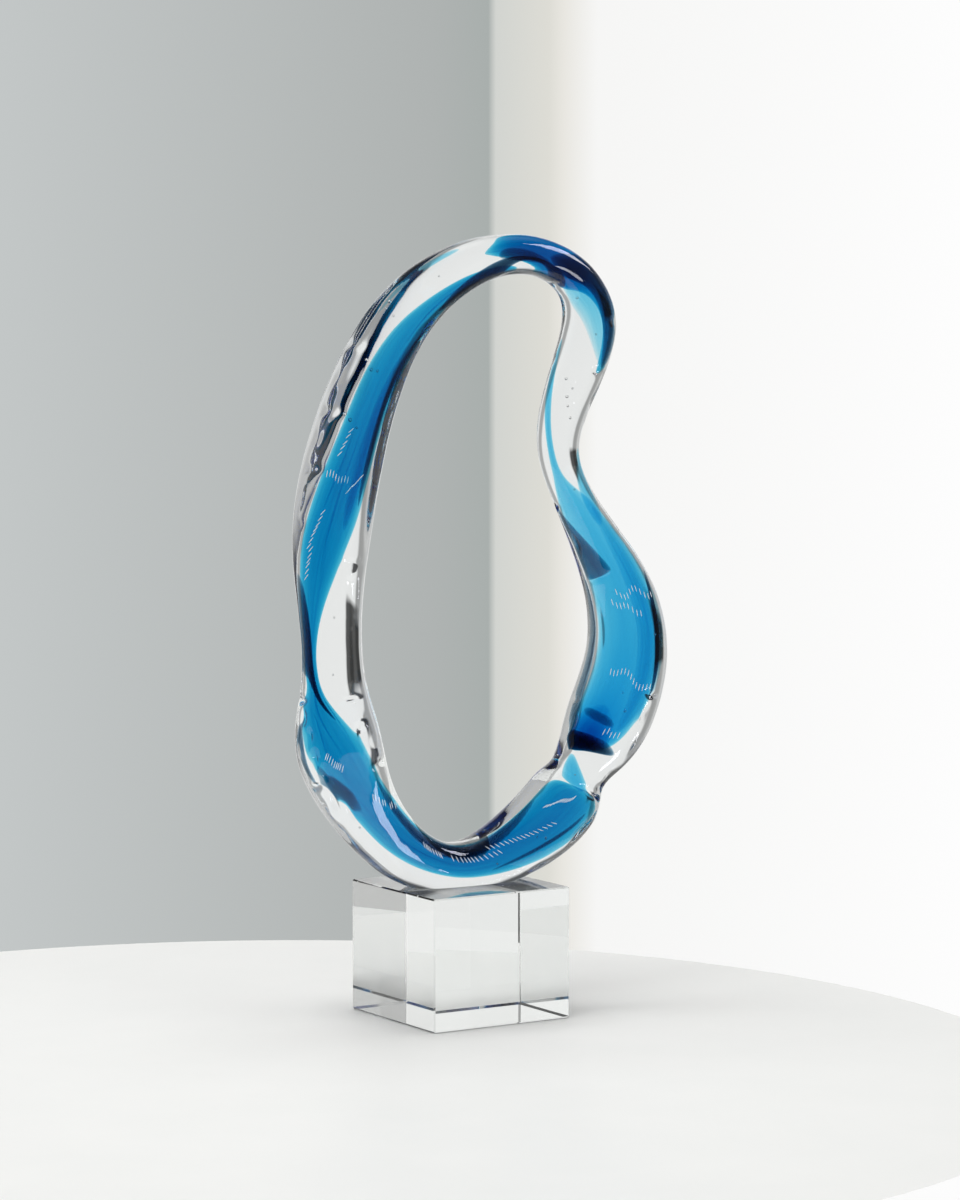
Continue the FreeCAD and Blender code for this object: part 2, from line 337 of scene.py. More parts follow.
BELLY_INNER_EDGE: tuple[StripRow, ...] = (
    (21.20, -0.84, -0.20, 0.02, 0.10),
    (21.80, -0.86, -0.20, 0.035, 0.26),
    (22.60, -0.87, -0.16, 0.035, 0.30),
    (23.40, -0.87, -0.16, 0.04, 0.30),
    (24.20, -0.84, -0.18, 0.05, 0.30),
    (24.80, -0.76, -0.20, 0.06, 0.28),
    (25.30, -0.72, -0.20, 0.03, 0.10),
)
BELLY_OUTER_EDGE: tuple[StripRow, ...] = (
    (21.50, 0.76, -0.26, 0.02, 0.08),
    (22.00, 0.70, -0.30, 0.05, 0.24),
    (22.60, 0.66, -0.34, 0.06, 0.28),
    (23.20, 0.66, -0.34, 0.05, 0.24),
    (23.60, 0.62, -0.34, 0.02, 0.08),
)
BELLY_END: tuple[StripRow, ...] = (
    (24.72, 0.10, -0.30, 0.06, 0.04),
    (24.84, -0.10, -0.28, 0.66, 0.16),
    (24.98, -0.20, -0.24, 0.72, 0.40),
    (25.14, -0.38, -0.24, 0.50, 0.42),
    (25.40, -0.62, -0.26, 0.20, 0.28),
    (25.56, -0.68, -0.26, 0.06, 0.10),
)


class Colour(Enum):
    """How deep the blue of a strip is."""

    PALE = "pale"
    MIDDLE = "middle"
    DEEP = "deep"


@dataclass(frozen=True)
class StripPlan:
    """One strip of colour: its name, stations, the node it stands for, and its depth of colour.

    Its corner share says how full its section is: at 1.0 it is square, and at 0.5 it thins out to
    its edges, so that its colour fades there.
    """

    name: str
    rows: tuple[StripRow, ...]
    node: str = ""
    colour: Colour = Colour.MIDDLE
    corner: float = 0.72


STRIPS: tuple[StripPlan, ...] = (
    StripPlan("long_blue_strip", LONG_RIBBON, "long_ribbon"),
    StripPlan("crown_blue_strip", CROWN_RIBBON, "crown_ribbon"),
    StripPlan("belly_blue_strip", BELLY_RIBBON, "belly_ribbon", Colour.PALE),
    StripPlan("fold_blue_wedge", FOLD_WEDGE, "fold_wedge", Colour.PALE),
    StripPlan("crown_pale_tail", CROWN_TAIL, colour=Colour.PALE, corner=0.5),
    StripPlan("belly_outer_shade", BELLY_SHADE, corner=0.46),
    StripPlan("belly_foot_shade", BELLY_FOOT_SHADE, corner=0.46),
    StripPlan("left_hole_shade", LEFT_HOLE_SHADE, corner=0.46),
    StripPlan("belly_fold_streak", BELLY_FOLD, colour=Colour.DEEP),
    StripPlan("left_fold_streak", LEFT_FOLD, colour=Colour.DEEP),
    StripPlan("left_rim_streak", LEFT_RIM, colour=Colour.DEEP),
    StripPlan("neck_blue_lip", NECK_LIP, colour=Colour.PALE),
    StripPlan("top_blue_crescent", TOP_CRESCENT, colour=Colour.PALE),
    StripPlan("crown_underside_streak", CROWN_UNDERSIDE, colour=Colour.DEEP),
    StripPlan("crown_head_streak", CROWN_HEAD, colour=Colour.DEEP),
    StripPlan("crown_back_streak", CROWN_BACK, colour=Colour.DEEP),
    StripPlan("left_inner_streak", LEFT_INNER_EDGE, colour=Colour.DEEP),
    StripPlan("left_waist_streak", LEFT_WAIST, colour=Colour.DEEP),
    StripPlan("foot_streak", FOOT_STREAK, colour=Colour.DEEP),
    StripPlan("lobe_streak", LOBE_STREAK, colour=Colour.DEEP),
    StripPlan("belly_head_streak", BELLY_HEAD, colour=Colour.DEEP),
    StripPlan("belly_inner_streak", BELLY_INNER_EDGE, colour=Colour.DEEP),
    StripPlan("belly_outer_streak", BELLY_OUTER_EDGE, colour=Colour.DEEP),
    StripPlan("belly_end_streak", BELLY_END, colour=Colour.DEEP),
)


@dataclass(frozen=True)
class ToolMark:
    """A mark of the hot tools: its place, way round the section, sizes and depth, in mm.

    The way round is 0 on the outer side, 90 at the back, 180 on the hole's side, -90 in front.
    """

    place: float
    way_deg: float
    along_mm: float
    round_mm: float
    deep_mm: float


TOOL_MARKS: tuple[ToolMark, ...] = (
    # the flat back of the left arm, squared against its edge on the hole's side
    ToolMark(7.60, 122.0, 30.0, 7.0, -1.0),
    ToolMark(8.60, 118.0, 30.0, 7.0, -1.2),
    ToolMark(9.60, 116.0, 30.0, 7.0, -1.2),
    ToolMark(10.60, 116.0, 30.0, 7.0, -1.2),
    ToolMark(11.60, 116.0, 30.0, 7.0, -1.2),
    ToolMark(12.60, 118.0, 30.0, 7.0, -1.0),
    # pinches across the left outer wall, and the dished lengths between them
    ToolMark(11.03, 5.0, 3.4, 9.0, 1.1),
    ToolMark(10.50, 5.0, 7.0, 4.5, 0.9),
    ToolMark(9.95, -12.0, 3.6, 10.0, 1.5),
    ToolMark(9.50, 0.0, 7.0, 4.5, 0.9),
    ToolMark(9.02, -12.0, 3.6, 10.0, 1.4),
    ToolMark(8.50, 0.0, 8.0, 4.5, 0.7),
    ToolMark(8.05, -20.0, 3.0, 6.0, 0.6),
    # the waist, the loop and the folds over the lower left bulge
    ToolMark(4.66, -22.0, 2.6, 8.0, 2.5),
    ToolMark(4.25, -40.0, 5.0, 2.1, 2.2),
    ToolMark(3.85, -50.0, 5.0, 2.1, 2.2),
    ToolMark(3.40, -52.0, 5.0, 1.9, 2.2),
    ToolMark(3.05, -57.0, 4.0, 2.1, 1.8),
    ToolMark(3.60, -28.0, 9.0, 3.4, -1.5),
    ToolMark(2.90, -36.0, 3.0, 5.8, 2.0),
    ToolMark(2.60, -50.0, 8.0, 2.1, 2.1),
    ToolMark(2.35, -62.0, 6.0, 1.9, 1.8),
    ToolMark(2.45, -34.0, 7.0, 2.5, -1.4),
    ToolMark(2.00, -16.0, 8.0, 2.5, 1.4),
    ToolMark(1.50, -50.0, 11.0, 2.2, 1.0),
    # the hole's side of the left arm: a knuckle, a long groove, and two lumps between dents
    ToolMark(7.40, -116.0, 3.2, 5.0, 1.2),
    ToolMark(7.16, -118.0, 3.4, 4.2, -1.2),
    ToolMark(6.60, -129.0, 20.0, 5.6, 1.9),
    ToolMark(5.87, -131.0, 14.0, 5.6, 1.0),
    ToolMark(5.15, -131.0, 20.0, 5.6, 1.9),
    ToolMark(4.62, -120.0, 2.4, 6.0, 1.6),
    ToolMark(4.15, -122.0, 5.0, 4.0, -1.5),
    ToolMark(3.78, -120.0, 5.0, 2.6, 1.6),
    ToolMark(3.30, -130.0, 5.5, 4.0, -1.1),
    ToolMark(2.92, -135.0, 3.0, 4.0, 1.2),
    # under the crown and down the neck
    ToolMark(15.55, -165.0, 3.0, 6.0, 1.2),
    ToolMark(14.30, -145.0, 10.0, 2.4, 1.0),
    ToolMark(16.90, -45.0, 3.0, 4.0, 1.0),
    ToolMark(17.73, -52.0, 2.6, 5.0, 1.4),
    ToolMark(17.75, -169.0, 4.0, 5.0, 0.7),
    ToolMark(18.20, -20.0, 5.0, 4.0, 0.5),
    ToolMark(18.02, -82.0, 3.4, 2.2, 1.3),
    ToolMark(18.16, -100.0, 2.4, 2.8, -0.9),
    ToolMark(18.40, -70.0, 5.5, 1.8, 1.1),
    # the belly: a pinch where the blue opens, the folds of its inner wall, the hook outside
    ToolMark(20.02, -160.0, 2.4, 5.0, 1.4),
    ToolMark(20.60, -138.0, 7.0, 2.4, 1.2),
    ToolMark(21.26, -125.0, 2.2, 6.0, 1.5),
    ToolMark(22.40, -140.0, 19.0, 2.2, 1.0),
    ToolMark(24.10, -170.0, 3.0, 5.0, 1.3),
    ToolMark(24.70, -150.0, 7.0, 2.6, 1.2),
    ToolMark(25.55, -150.0, 5.0, 3.0, 1.0),
    ToolMark(23.50, -58.0, 2.2, 4.0, 1.5),
    ToolMark(23.85, -60.0, 7.0, 2.2, 1.2),
    ToolMark(24.50, -55.0, 9.0, 2.4, 1.0),
    # the fold and the rounded end at the lower right
    ToolMark(25.60, -48.0, 7.0, 4.0, 1.1),
    ToolMark(26.12, -50.0, 4.0, 5.0, 1.4),
    ToolMark(26.64, -75.0, 1.9, 9.0, 1.2),
    ToolMark(27.50, -55.0, 11.0, 2.2, 1.1),
    ToolMark(28.60, -48.0, 11.0, 2.2, 0.9),
    ToolMark(29.30, -20.0, 3.0, 5.0, 0.9),
)
# Stretches of the rod whose skin is parted once more, as they carry the finest marks
FINE_STRETCHES: tuple[Pair, ...] = (
    (2.0, 7.6), (8.7, 10.3), (10.8, 11.3), (15.3, 15.8), (17.5, 18.7),
    (19.8, 21.5), (23.3, 24.3), (25.4, 27.0),
)


@dataclass(frozen=True)
class SeedRow:
    """A wavy row of stretched seeds: its two ends, how many, their lean and their waves.

    Each end is a place along the rod and a share out.
    """

    start: Pair
    end: Pair
    number: int
    lean_deg: float = 0.0
    wave_mm: float = 1.5


SEED_ROWS: tuple[SeedRow, ...] = (
    SeedRow((21.66, -0.22), (21.86, 0.70), 11, wave_mm=2.4),
    SeedRow((21.80, -0.42), (22.15, 0.26), 8, wave_mm=1.0),
    SeedRow((23.22, -0.50), (23.43, 0.52), 13, wave_mm=2.0),
    SeedRow((24.56, -0.14), (24.50, 0.24), 5, wave_mm=0.8),
    SeedRow((9.00, 0.72), (8.94, 0.10), 8, wave_mm=0.8),
    SeedRow((3.38, 0.40), (3.05, 0.14), 9, 30.0, 0.6),
    SeedRow((2.34, -0.20), (2.08, -0.40), 5, 20.0, 0.6),
    SeedRow((2.00, -0.48), (1.92, -0.68), 4, 20.0, 0.4),
    SeedRow((0.98, -0.44), (0.55, -0.40), 8, 40.0, 0.4),
    SeedRow((0.30, -0.42), (-0.80, -0.32), 12, 50.0, 0.6),
    SeedRow((-0.60, -0.62), (-2.10, -0.06), 16, 50.0, 0.6),
    SeedRow((-2.20, -0.56), (-2.92, -0.10), 11, 10.0, 0.8),
    SeedRow((7.70, 0.72), (8.32, 0.54), 7, 35.0, 0.3),
    SeedRow((7.10, 0.72), (7.62, 0.66), 6, 35.0, 0.3),
    SeedRow((9.35, 0.54), (9.75, 0.42), 5, 35.0, 0.3),
    SeedRow((8.78, 0.02), (9.06, -0.26), 5, 35.0, 0.3),
)
# Round bubbles: place along the rod, share out, share back, and radius in mm
BUBBLES: tuple[BubbleRow, ...] = (
    (10.86, 0.68, -0.70, 0.80), (10.75, 0.46, -0.78, 0.90), (10.78, 0.26, -0.80, 0.70),
    (9.96, 0.72, -0.72, 0.90), (9.90, 0.54, -0.78, 1.00), (9.82, 0.28, -0.80, 0.60),
    (11.88, 0.82, -0.40, 1.05), (11.75, 0.80, -0.46, 0.60), (11.70, 0.58, -0.70, 0.50),
    (16.22, -0.48, -0.66, 0.70), (17.15, 0.16, -0.78, 0.50), (19.85, 0.22, -0.76, 0.45),
    (22.55, 0.54, -0.76, 0.60), (23.93, 0.12, -0.80, 0.75), (23.62, -0.08, -0.82, 0.45),
    (29.30, 0.02, -0.80, 0.60), (28.20, 0.12, -0.80, 0.70), (28.35, -0.08, -0.80, 0.45),
    (26.32, -0.40, -0.74, 0.45), (28.45, -0.74, -0.40, 0.45), (2.36, 0.38, -0.76, 0.70),
    (2.02, 0.54, -0.66, 0.50), (17.98, -0.30, -0.60, 0.75), (18.10, 0.00, -0.62, 0.60),
    (18.24, -0.06, -0.62, 0.80), (18.38, 0.08, -0.60, 0.60), (18.56, 0.30, -0.56, 0.70),
    (6.30, -0.10, -0.40, 0.50), (5.20, 0.00, -0.50, 0.45), (12.80, 0.30, -0.40, 0.50),
)


# The room's light all round, level with the object: degrees to the right of straight ahead of
# the camera, and how bright it is there
ROOM_ROUND: tuple[Pair, ...] = (
    (-180, 0.07), (-150, 0.10), (-128, 0.35), (-115, 0.90), (-66, 1.0), (-58, 0.66),
    (-42, 0.62), (-37, 0.40), (-27, 0.36), (-23, 0.90), (-10, 0.94), (16, 0.92), (32, 0.96),
    (38, 0.42), (50, 0.42), (57, 1.0), (98, 0.80), (112, 0.55), (122, 0.56), (132, 0.40),
    (150, 0.10), (180, 0.07),
)
# The dark doorway beside the backdrop: how much light it leaves, in the same way, and between
# which heights it lies, as the sine of the angle up
DOORWAY: tuple[Pair, ...] = (
    (-180, 1.0), (-40, 1.0), (-36, 0.10), (-18, 0.10), (-15, 1.0), (180, 1.0),
)
DOORWAY_HEIGHTS: tuple[Pair, ...] = (
    (-1.0, 0.0), (-0.27, 0.0), (-0.21, 1.0), (-0.07, 1.0), (-0.03, 0.0), (1.0, 0.0),
)
# How much of the room's light the skin mirrors, in the same way, beside its two windows
MIRRORED_ROOM: tuple[Pair, ...] = (
    (-180, 0.25), (-75, 0.25), (-50, 1.0), (60, 1.0), (85, 0.25), (180, 0.25),
)
# Colours of the backdrop behind the object, from its left to its right
BACKDROP_STOPS: tuple[tuple[float, str], ...] = (
    (0.0, "C3C7C7"), (0.45, "AFB3B2"), (0.508, "A9AFAD"), (0.515, "D2D4D0"), (0.57, "DDDCD5"),
    (0.585, "E8E6E0"), (0.62, "F6F6F5"), (1.0, "FDFDFD"),
)


class Reach(Enum):
    """What a light acts on: the skin's own reflections, or the table."""

    MIRRORED = "mirrored"
    TABLE = "table"


class Side(Enum):
    """A wall of the room round the sculpture, as its direction from the object."""

    WINDOW = (0.846, -0.533, 0.0)
    BACKDROP = (0.533, 0.846, 0.0)


@dataclass(frozen=True)
class SoftLight:
    """One soft rectangular light: its name, place, aim, width and height, watts and reach."""

    name: str
    place: Triple
    towards: Triple
    size: Pair
    power: float
    reach: Reach


# The two windows that the skin mirrors, and a light from above for the table alone
LIGHTS: tuple[SoftLight, ...] = (
    SoftLight(
        "low_window", (0.79, -1.79, -0.31), (0.0, 0.0, 0.12), (0.36, 0.28), 2.8, Reach.MIRRORED),
    SoftLight(
        "high_window", (1.50, -0.91, 1.40), (0.05, 0.0, 0.37), (0.90, 0.52), 15.0,
        Reach.MIRRORED),
    SoftLight("top_fill", (-0.2, -0.1, 1.8), (-0.15, 0.0, 0.0), (1.6, 1.6), 41.0, Reach.TABLE),
)


def linear(colour: str) -> Triple:
    """Turn an sRGB hex colour to linear red, green and blue.

    Args:
        colour: six hex digits.

    Returns:
        The three linear shares.
    """
    shares = [int(colour[i:i + 2], 16) / 255 for i in (0, 2, 4)]
    return tuple(s / 12.92 if s <= 0.04045 else ((s + 0.055) / 1.055) ** 2.4 for s in shares)


def opaque(colour: str) -> Shade:
    """An sRGB hex colour as a socket's linear colour."""
    return (*linear(colour), 1.0)


def add_node(
    tree: bpy.types.NodeTree, kind: str, inputs: dict | None = None, links: dict | None = None,
    **settings: object,
) -> bpy.types.Node:
    """Add a node with its settings and links.

    Args:
        tree: the material's or the world's node tree.
        kind: the node's type name.
        inputs: value of each unlinked socket.
        links: the output that feeds each linked socket.
        **settings: the node's own properties.

    Returns:
        The new node.
    """
    node = tree.nodes.new(kind)
    for name, value in settings.items():
        setattr(node, name, value)
    for socket, value in (inputs or {}).items():
        node.inputs[socket].default_value = value
    for socket, source in (links or {}).items():
        tree.links.new(source, node.inputs[socket])
    return node


def empty_material(name: str) -> tuple[bpy.types.Material, bpy.types.NodeTree]:
    """Start a material.

    Args:
        name: what it really is.

    Returns:
        The material, with no nodes yet, and its tree.
    """
    material = bpy.data.materials.new(name)
    material.use_nodes = True
    material.node_tree.nodes.clear()
    return material, material.node_tree


def rod_grain(tree: bpy.types.NodeTree, along_mm: float, round_mm: float) -> bpy.types.Node:
    """Noise drawn out along the rod, as everything in pulled glass is.

    Args:
        tree: the material's nodes.
        along_mm: how long a streak is.
        round_mm: how wide it is.

    Returns:
        The noise node.
    """
    placed = add_node(tree, "ShaderNodeUVMap", uv_map="rod_map")
    parts = add_node(tree, "ShaderNodeSeparateXYZ", links={0: placed.outputs["UV"]})
    along = add_node(
        tree, "ShaderNodeMath", {1: STATION_MM / along_mm}, {0: parts.outputs["X"]},
        operation="MULTIPLY")
    turn = add_node(
        tree, "ShaderNodeMath", {1: 2 * math.pi}, {0: parts.outputs["Y"]}, operation="MULTIPLY")
    radius = GIRTH_MM / round_mm / (2 * math.pi)
    ways = []
    for wave in ("SINE", "COSINE"):
        way = add_node(tree, "ShaderNodeMath", links={0: turn.outputs["Value"]}, operation=wave)
        ways.append(add_node(
            tree, "ShaderNodeMath", {1: radius}, {0: way.outputs["Value"]}, operation="MULTIPLY"))
    spread = add_node(
        tree, "ShaderNodeCombineXYZ", links={
            "X": along.outputs["Value"], "Y": ways[0].outputs["Value"],
            "Z": ways[1].outputs["Value"]})
    return add_node(
        tree, "ShaderNodeTexNoise", {"Scale": 1.0, "Detail": 3.0, "Roughness": 0.55},
        {"Vector": spread.outputs["Vector"]})


def clouded(
    tree: bpy.types.NodeTree, tints: tuple[str, str], size_mm: float, grain: dict[str, float],
) -> bpy.types.NodeSocket:
    """Two tints that run into each other in soft clouds.

    Args:
        tree: the material's nodes.
        tints: the two tints, in sRGB hex.
        size_mm: how large a cloud is.
        grain: the noise's other settings.

    Returns:
        The mixed colour.
    """
    coords = add_node(tree, "ShaderNodeTexCoord")
    clouds = add_node(
        tree, "ShaderNodeTexNoise", {"Scale": MM_PER_M / size_mm, **grain},
        {"Vector": coords.outputs["Object"]})
    mixed = add_node(
        tree, "ShaderNodeMix", {"A": opaque(tints[0]), "B": opaque(tints[1])},
        {"Factor": clouds.outputs["Fac"]}, data_type="RGBA")
    return mixed.outputs["Result"]


@dataclass(frozen=True)
class HotWorkedClearGlass:
    """Glass pulled hot and fire-polished: slow ripples, and fine cords that run with the pull."""

    tint: str = "FBFDFD"
    ripple_mm: float = 14.0
    ripple_height_mm: float = 0.05
    cord_length_mm: float = 38.0
    cord_width_mm: float = 2.6
    cord_height_mm: float = 0.035
    refraction: float = 1.50

    def material(self) -> bpy.types.Material:
        """Build the glass.

        Returns:
            The material of the casing.
        """
        material, tree = empty_material("fire_polished_clear_glass")
        coords = add_node(tree, "ShaderNodeTexCoord")
        ripples = add_node(
            tree, "ShaderNodeTexNoise",
            {"Scale": MM_PER_M / self.ripple_mm, "Detail": 1.0, "Roughness": 0.4,
             "Distortion": 0.3},
            {"Vector": coords.outputs["Object"]},
        )
        slow = add_node(
            tree, "ShaderNodeBump",
            {"Strength": 0.5, "Distance": self.ripple_height_mm / MM_PER_M},
            {"Height": ripples.outputs["Fac"]},
        )
        cords = rod_grain(tree, self.cord_length_mm, self.cord_width_mm)
        fine = add_node(
            tree, "ShaderNodeBump",
            {"Strength": 0.6, "Distance": self.cord_height_mm / MM_PER_M},
            {"Height": cords.outputs["Fac"], "Normal": slow.outputs["Normal"]},
        )
        glass = add_node(
            tree, "ShaderNodeBsdfPrincipled",
            {"Base Color": opaque(self.tint), "Roughness": 0.0, "IOR": self.refraction,
             "Transmission Weight": 1.0},
            {"Normal": fine.outputs["Normal"]},
        )
        add_node(tree, "ShaderNodeOutputMaterial", links={"Surface": glass.outputs["BSDF"]})
        return material


@dataclass(frozen=True)
class BlueColourGlass:
    """Colour glass fused inside the clear: no skin of its own, only depth of colour.

    Its body darkens with thickness, and drawn-out streaks of weaker colour lie in its skin.
    """

    name: str = "copper_blue_colour_glass"
    passed: Triple = (0.0, 0.760, 0.897)
    density_per_m: float = 1100.0
    streak_tint: str = "D6ECF8"
    streak_length_mm: float = 45.0
    streak_width_mm: float = 3.2

    def material(self) -> bpy.types.Material:
        """Build the glass.

        Returns:
            The material of every blue piece.
        """
        material, tree = empty_material(self.name)
        streaks = rod_grain(tree, self.streak_length_mm, self.streak_width_mm)
        amount = add_node(
            tree, "ShaderNodeMapRange", {"From Min": 0.42, "From Max": 0.66},
            {"Value": streaks.outputs["Fac"]}, interpolation_type="SMOOTHSTEP")
        tint = add_node(
            tree, "ShaderNodeMix", {"A": opaque("FFFFFF"), "B": opaque(self.streak_tint)},
            {"Factor": amount.outputs["Result"]}, data_type="RGBA")
        skin = add_node(
            tree, "ShaderNodeBsdfPrincipled",
            {"Roughness": 0.0, "IOR": 1.0, "Transmission Weight": 1.0},
            {"Base Color": tint.outputs["Result"]},
        )
        body = add_node(
            tree, "ShaderNodeVolumeAbsorption",
            {"Color": (*self.passed, 1.0), "Density": self.density_per_m},
        )
        add_node(
            tree, "ShaderNodeOutputMaterial",
            links={"Surface": skin.outputs["BSDF"], "Volume": body.outputs["Volume"]},
        )
        return material


@dataclass(frozen=True)
class AirInGlass:
    """Air caught in the glass: each bubble mirrors and bends the light round its own small skin.

    Seeds too thin to show that are drawn opaque white and glow faintly, though they are no
    lamp: a painted glint that stands in for the fine white glints the eye gets from them.
    """

    name: str = "trapped_air"
    clear: float = 1.0
    # how strongly the air glows, though it is no lamp: a painted glint
    painted_glint: float = 0.0
    patches_per_m: float = 900.0

    def material(self) -> bpy.types.Material:
        """Build the air.

        Returns:
            The material of the bubbles or the seeds.
        """
        material, tree = empty_material(self.name)
        coords = add_node(tree, "ShaderNodeTexCoord")
        patches = add_node(
            tree, "ShaderNodeTexNoise", {"Scale": self.patches_per_m, "Detail": 1.0},
            {"Vector": coords.outputs["Object"]})
        rough = add_node(
            tree, "ShaderNodeMapRange",
            {"From Min": 0.3, "From Max": 0.7, "To Min": 0.0, "To Max": 0.12},
            {"Value": patches.outputs["Fac"]})
        # the emission is a painted glint: a faint glow of the air's own, though it is no lamp
        skin = add_node(
            tree, "ShaderNodeBsdfPrincipled",
            {"Base Color": opaque("FFFFFF"), "IOR": 1.5, "Transmission Weight": self.clear,
             "Emission Color": opaque("FFFFFF"), "Emission Strength": self.painted_glint},
            {"Roughness": rough.outputs["Result"]})
        add_node(tree, "ShaderNodeOutputMaterial", links={"Surface": skin.outputs["BSDF"]})
        return material


@dataclass(frozen=True)
class OpticalContact:
    """Where glass, adhesive and crystal touch: nothing is reflected or bent there."""

    def material(self) -> bpy.types.Material:
        """Build the contact.

        Returns:
            A material that light goes straight through.
        """
        material, tree = empty_material("optical_contact")
        through = add_node(tree, "ShaderNodeBsdfTransparent", {"Color": opaque("FFFFFF")})
        add_node(tree, "ShaderNodeOutputMaterial", links={"Surface": through.outputs["BSDF"]})
        return material


@dataclass(frozen=True)
class CutCrystal:
    """Optical crystal sawn, bevelled and felt-polished: dead flat faces with no ripple."""

    tint: str = "FEFFFE"
    haze_tint: str = "F6F9F8"
    haze_mm: float = 30.0
    refraction: float = 1.52

    def material(self) -> bpy.types.Material:
        """Build the crystal.

        Returns:
            The material of the block.
        """
        material, tree = empty_material("polished_optical_crystal")
        haze = clouded(tree, (self.tint, self.haze_tint), self.haze_mm, {"Detail": 3.0})
        glass = add_node(
            tree, "ShaderNodeBsdfPrincipled",
            {"Roughness": 0.0, "IOR": self.refraction, "Transmission Weight": 1.0},
            {"Base Color": haze},
        )
        add_node(tree, "ShaderNodeOutputMaterial", links={"Surface": glass.outputs["BSDF"]})
        return material


@dataclass(frozen=True)
class CuredAdhesive:
    """Clear adhesive cured under lamp light: as clear as the glass on each side of it."""

    tint: str = "F8FBF9"
    thick_tint: str = "F1F7F3"
    swirl_mm: float = 9.0

    def material(self) -> bpy.types.Material:
        """Build the adhesive.

        Returns:
            The material of the film.
        """
        material, tree = empty_material("cured_clear_adhesive")
        swirls = clouded(
            tree, (self.tint, self.thick_tint), self.swirl_mm, {"Detail": 2.0, "Distortion": 1.5})
        film = add_node(
            tree, "ShaderNodeBsdfPrincipled",
            {"Roughness": 0.02, "IOR": 1.5, "Transmission Weight": 1.0}, {"Base Color": swirls},
        )
        add_node(tree, "ShaderNodeOutputMaterial", links={"Surface": film.outputs["BSDF"]})
        return material


@dataclass(frozen=True)
class PaleTableTop:
    """Plain pale satin top that the sculpture stands on, with faint clouds as honed stone has."""

    colour: str = "E9E9E7"
    cloud_colour: str = "E3E4E2"
    cloud_mm: float = 60.0

    def material(self) -> bpy.types.Material:
        """Build the top.

        Returns:
            The material of the floor.
        """
        material, tree = empty_material("pale_satin_top")
        clouds = clouded(
            tree, (self.colour, self.cloud_colour), self.cloud_mm,
            {"Detail": 4.0, "Roughness": 0.6})
        top = add_node(
            tree, "ShaderNodeBsdfPrincipled", {"Roughness": 0.45}, {"Base Color": clouds})
        add_node(tree, "ShaderNodeOutputMaterial", links={"Surface": top.outputs["BSDF"]})
        return material


@dataclass(frozen=True)
class RodSpot:
    """The rod at one place: its middle, its section's two directions and half sizes."""

    centre: Vector
    out: Vector
    back: Vector
    half_thickness: float
    half_depth: float
    corner: float

    def turned(self, turn: float) -> tuple[Vector, Vector]:
        """Turn the section's directions.

        Args:
            turn: the further turn, as a share of a full one.

        Returns:
            The two directions.
        """
        angle = 2 * math.pi * turn
        return (
            self.out * math.cos(angle) + self.back * math.sin(angle),
            self.back * math.cos(angle) - self.out * math.sin(angle),
        )


@dataclass(frozen=True)
class Rod:
    """The path of the pulled rod, closed on itself, and its section all along."""

    ring_width: float = 0.214
    ring_height: float = 0.327
    thickness: float = 0.030
    depth: float = 0.027
    seat_height: float = BLOCK_HEIGHT + BOND_THICKNESS
    reach: float = 0.5

    def centre(self, number: int) -> Vector:
        """The rod's middle at a station."""
        across, up = ROD_STATIONS[number % len(ROD_STATIONS)][:2]
        return Vector((across * self.ring_width, 0.0, self.seat_height + up * self.ring_height))

    def spot_from(
        self, middle: Vector, run: Vector, sizes: SectionSizes, fill: float,
    ) -> RodSpot:
        """Put a section on the path.

        Args:
            middle: the section's middle.
            run: the path's direction there.
            sizes: thickness, depth, corner and turn, as shares.
            fill: how much of its poles' reach the finished skin keeps.

        Returns:
            The spot.
        """
        thickness, depth, corner, turn = sizes
        level = RodSpot(
            middle, Vector((-run.z, 0.0, run.x)).normalized(), Vector((0.0, 1.0, 0.0)),
            fill * thickness * self.thickness / 2, fill * depth * self.depth / 2, corner,
        )
        out, back = level.turned(turn)
        return RodSpot(middle, out, back, level.half_thickness, level.half_depth, corner)

    def station(self, number: int) -> RodSpot:
        """Find the spot that shapes the skin at a station.

        Args:
            number: the station, counted from the seat.

        Returns:
            The spot.
        """
        run = self.centre(number + 1) - self.centre(number - 1)
        sizes = ROD_STATIONS[number % len(ROD_STATIONS)][2:]
        return self.spot_from(self.centre(number), run, sizes, 1.0)

    def blended(self, place: float) -> tuple[Vector, SectionSizes]:
        """Smooth values between the stations, as the finished skin has them.

        Args:
            place: station number, with its fraction.

        Returns:
            The middle, and the thickness, depth, corner and turn there.
        """
        whole = math.floor(place)
        step = place - whole
        rest = 1 - step
        weights = (
            rest ** 3 / 6, (3 * step ** 3 - 6 * step ** 2 + 4) / 6,
            (3 * rest ** 3 - 6 * rest ** 2 + 4) / 6, step ** 3 / 6,
        )
        middle = Vector((0.0, 0.0, 0.0))
        sizes = [0.0, 0.0, 0.0, 0.0]
        for offset, weight in enumerate(weights):
            number = whole + offset - 1
            middle += self.centre(number) * weight
            for column in range(4):
                sizes[column] += ROD_STATIONS[number % len(ROD_STATIONS)][column + 2] * weight
        return middle, tuple(sizes)

    def spot(self, place: float) -> RodSpot:
        """Find the finished rod at any place.

        Args:
            place: station number, with its fraction.

        Returns:
            The spot.
        """
        middle, sizes = self.blended(place)
        run = self.blended(place + self.reach)[0] - self.blended(place - self.reach)[0]
        return self.spot_from(middle, run, sizes, (4 + 2 * sizes[2]) / 6)


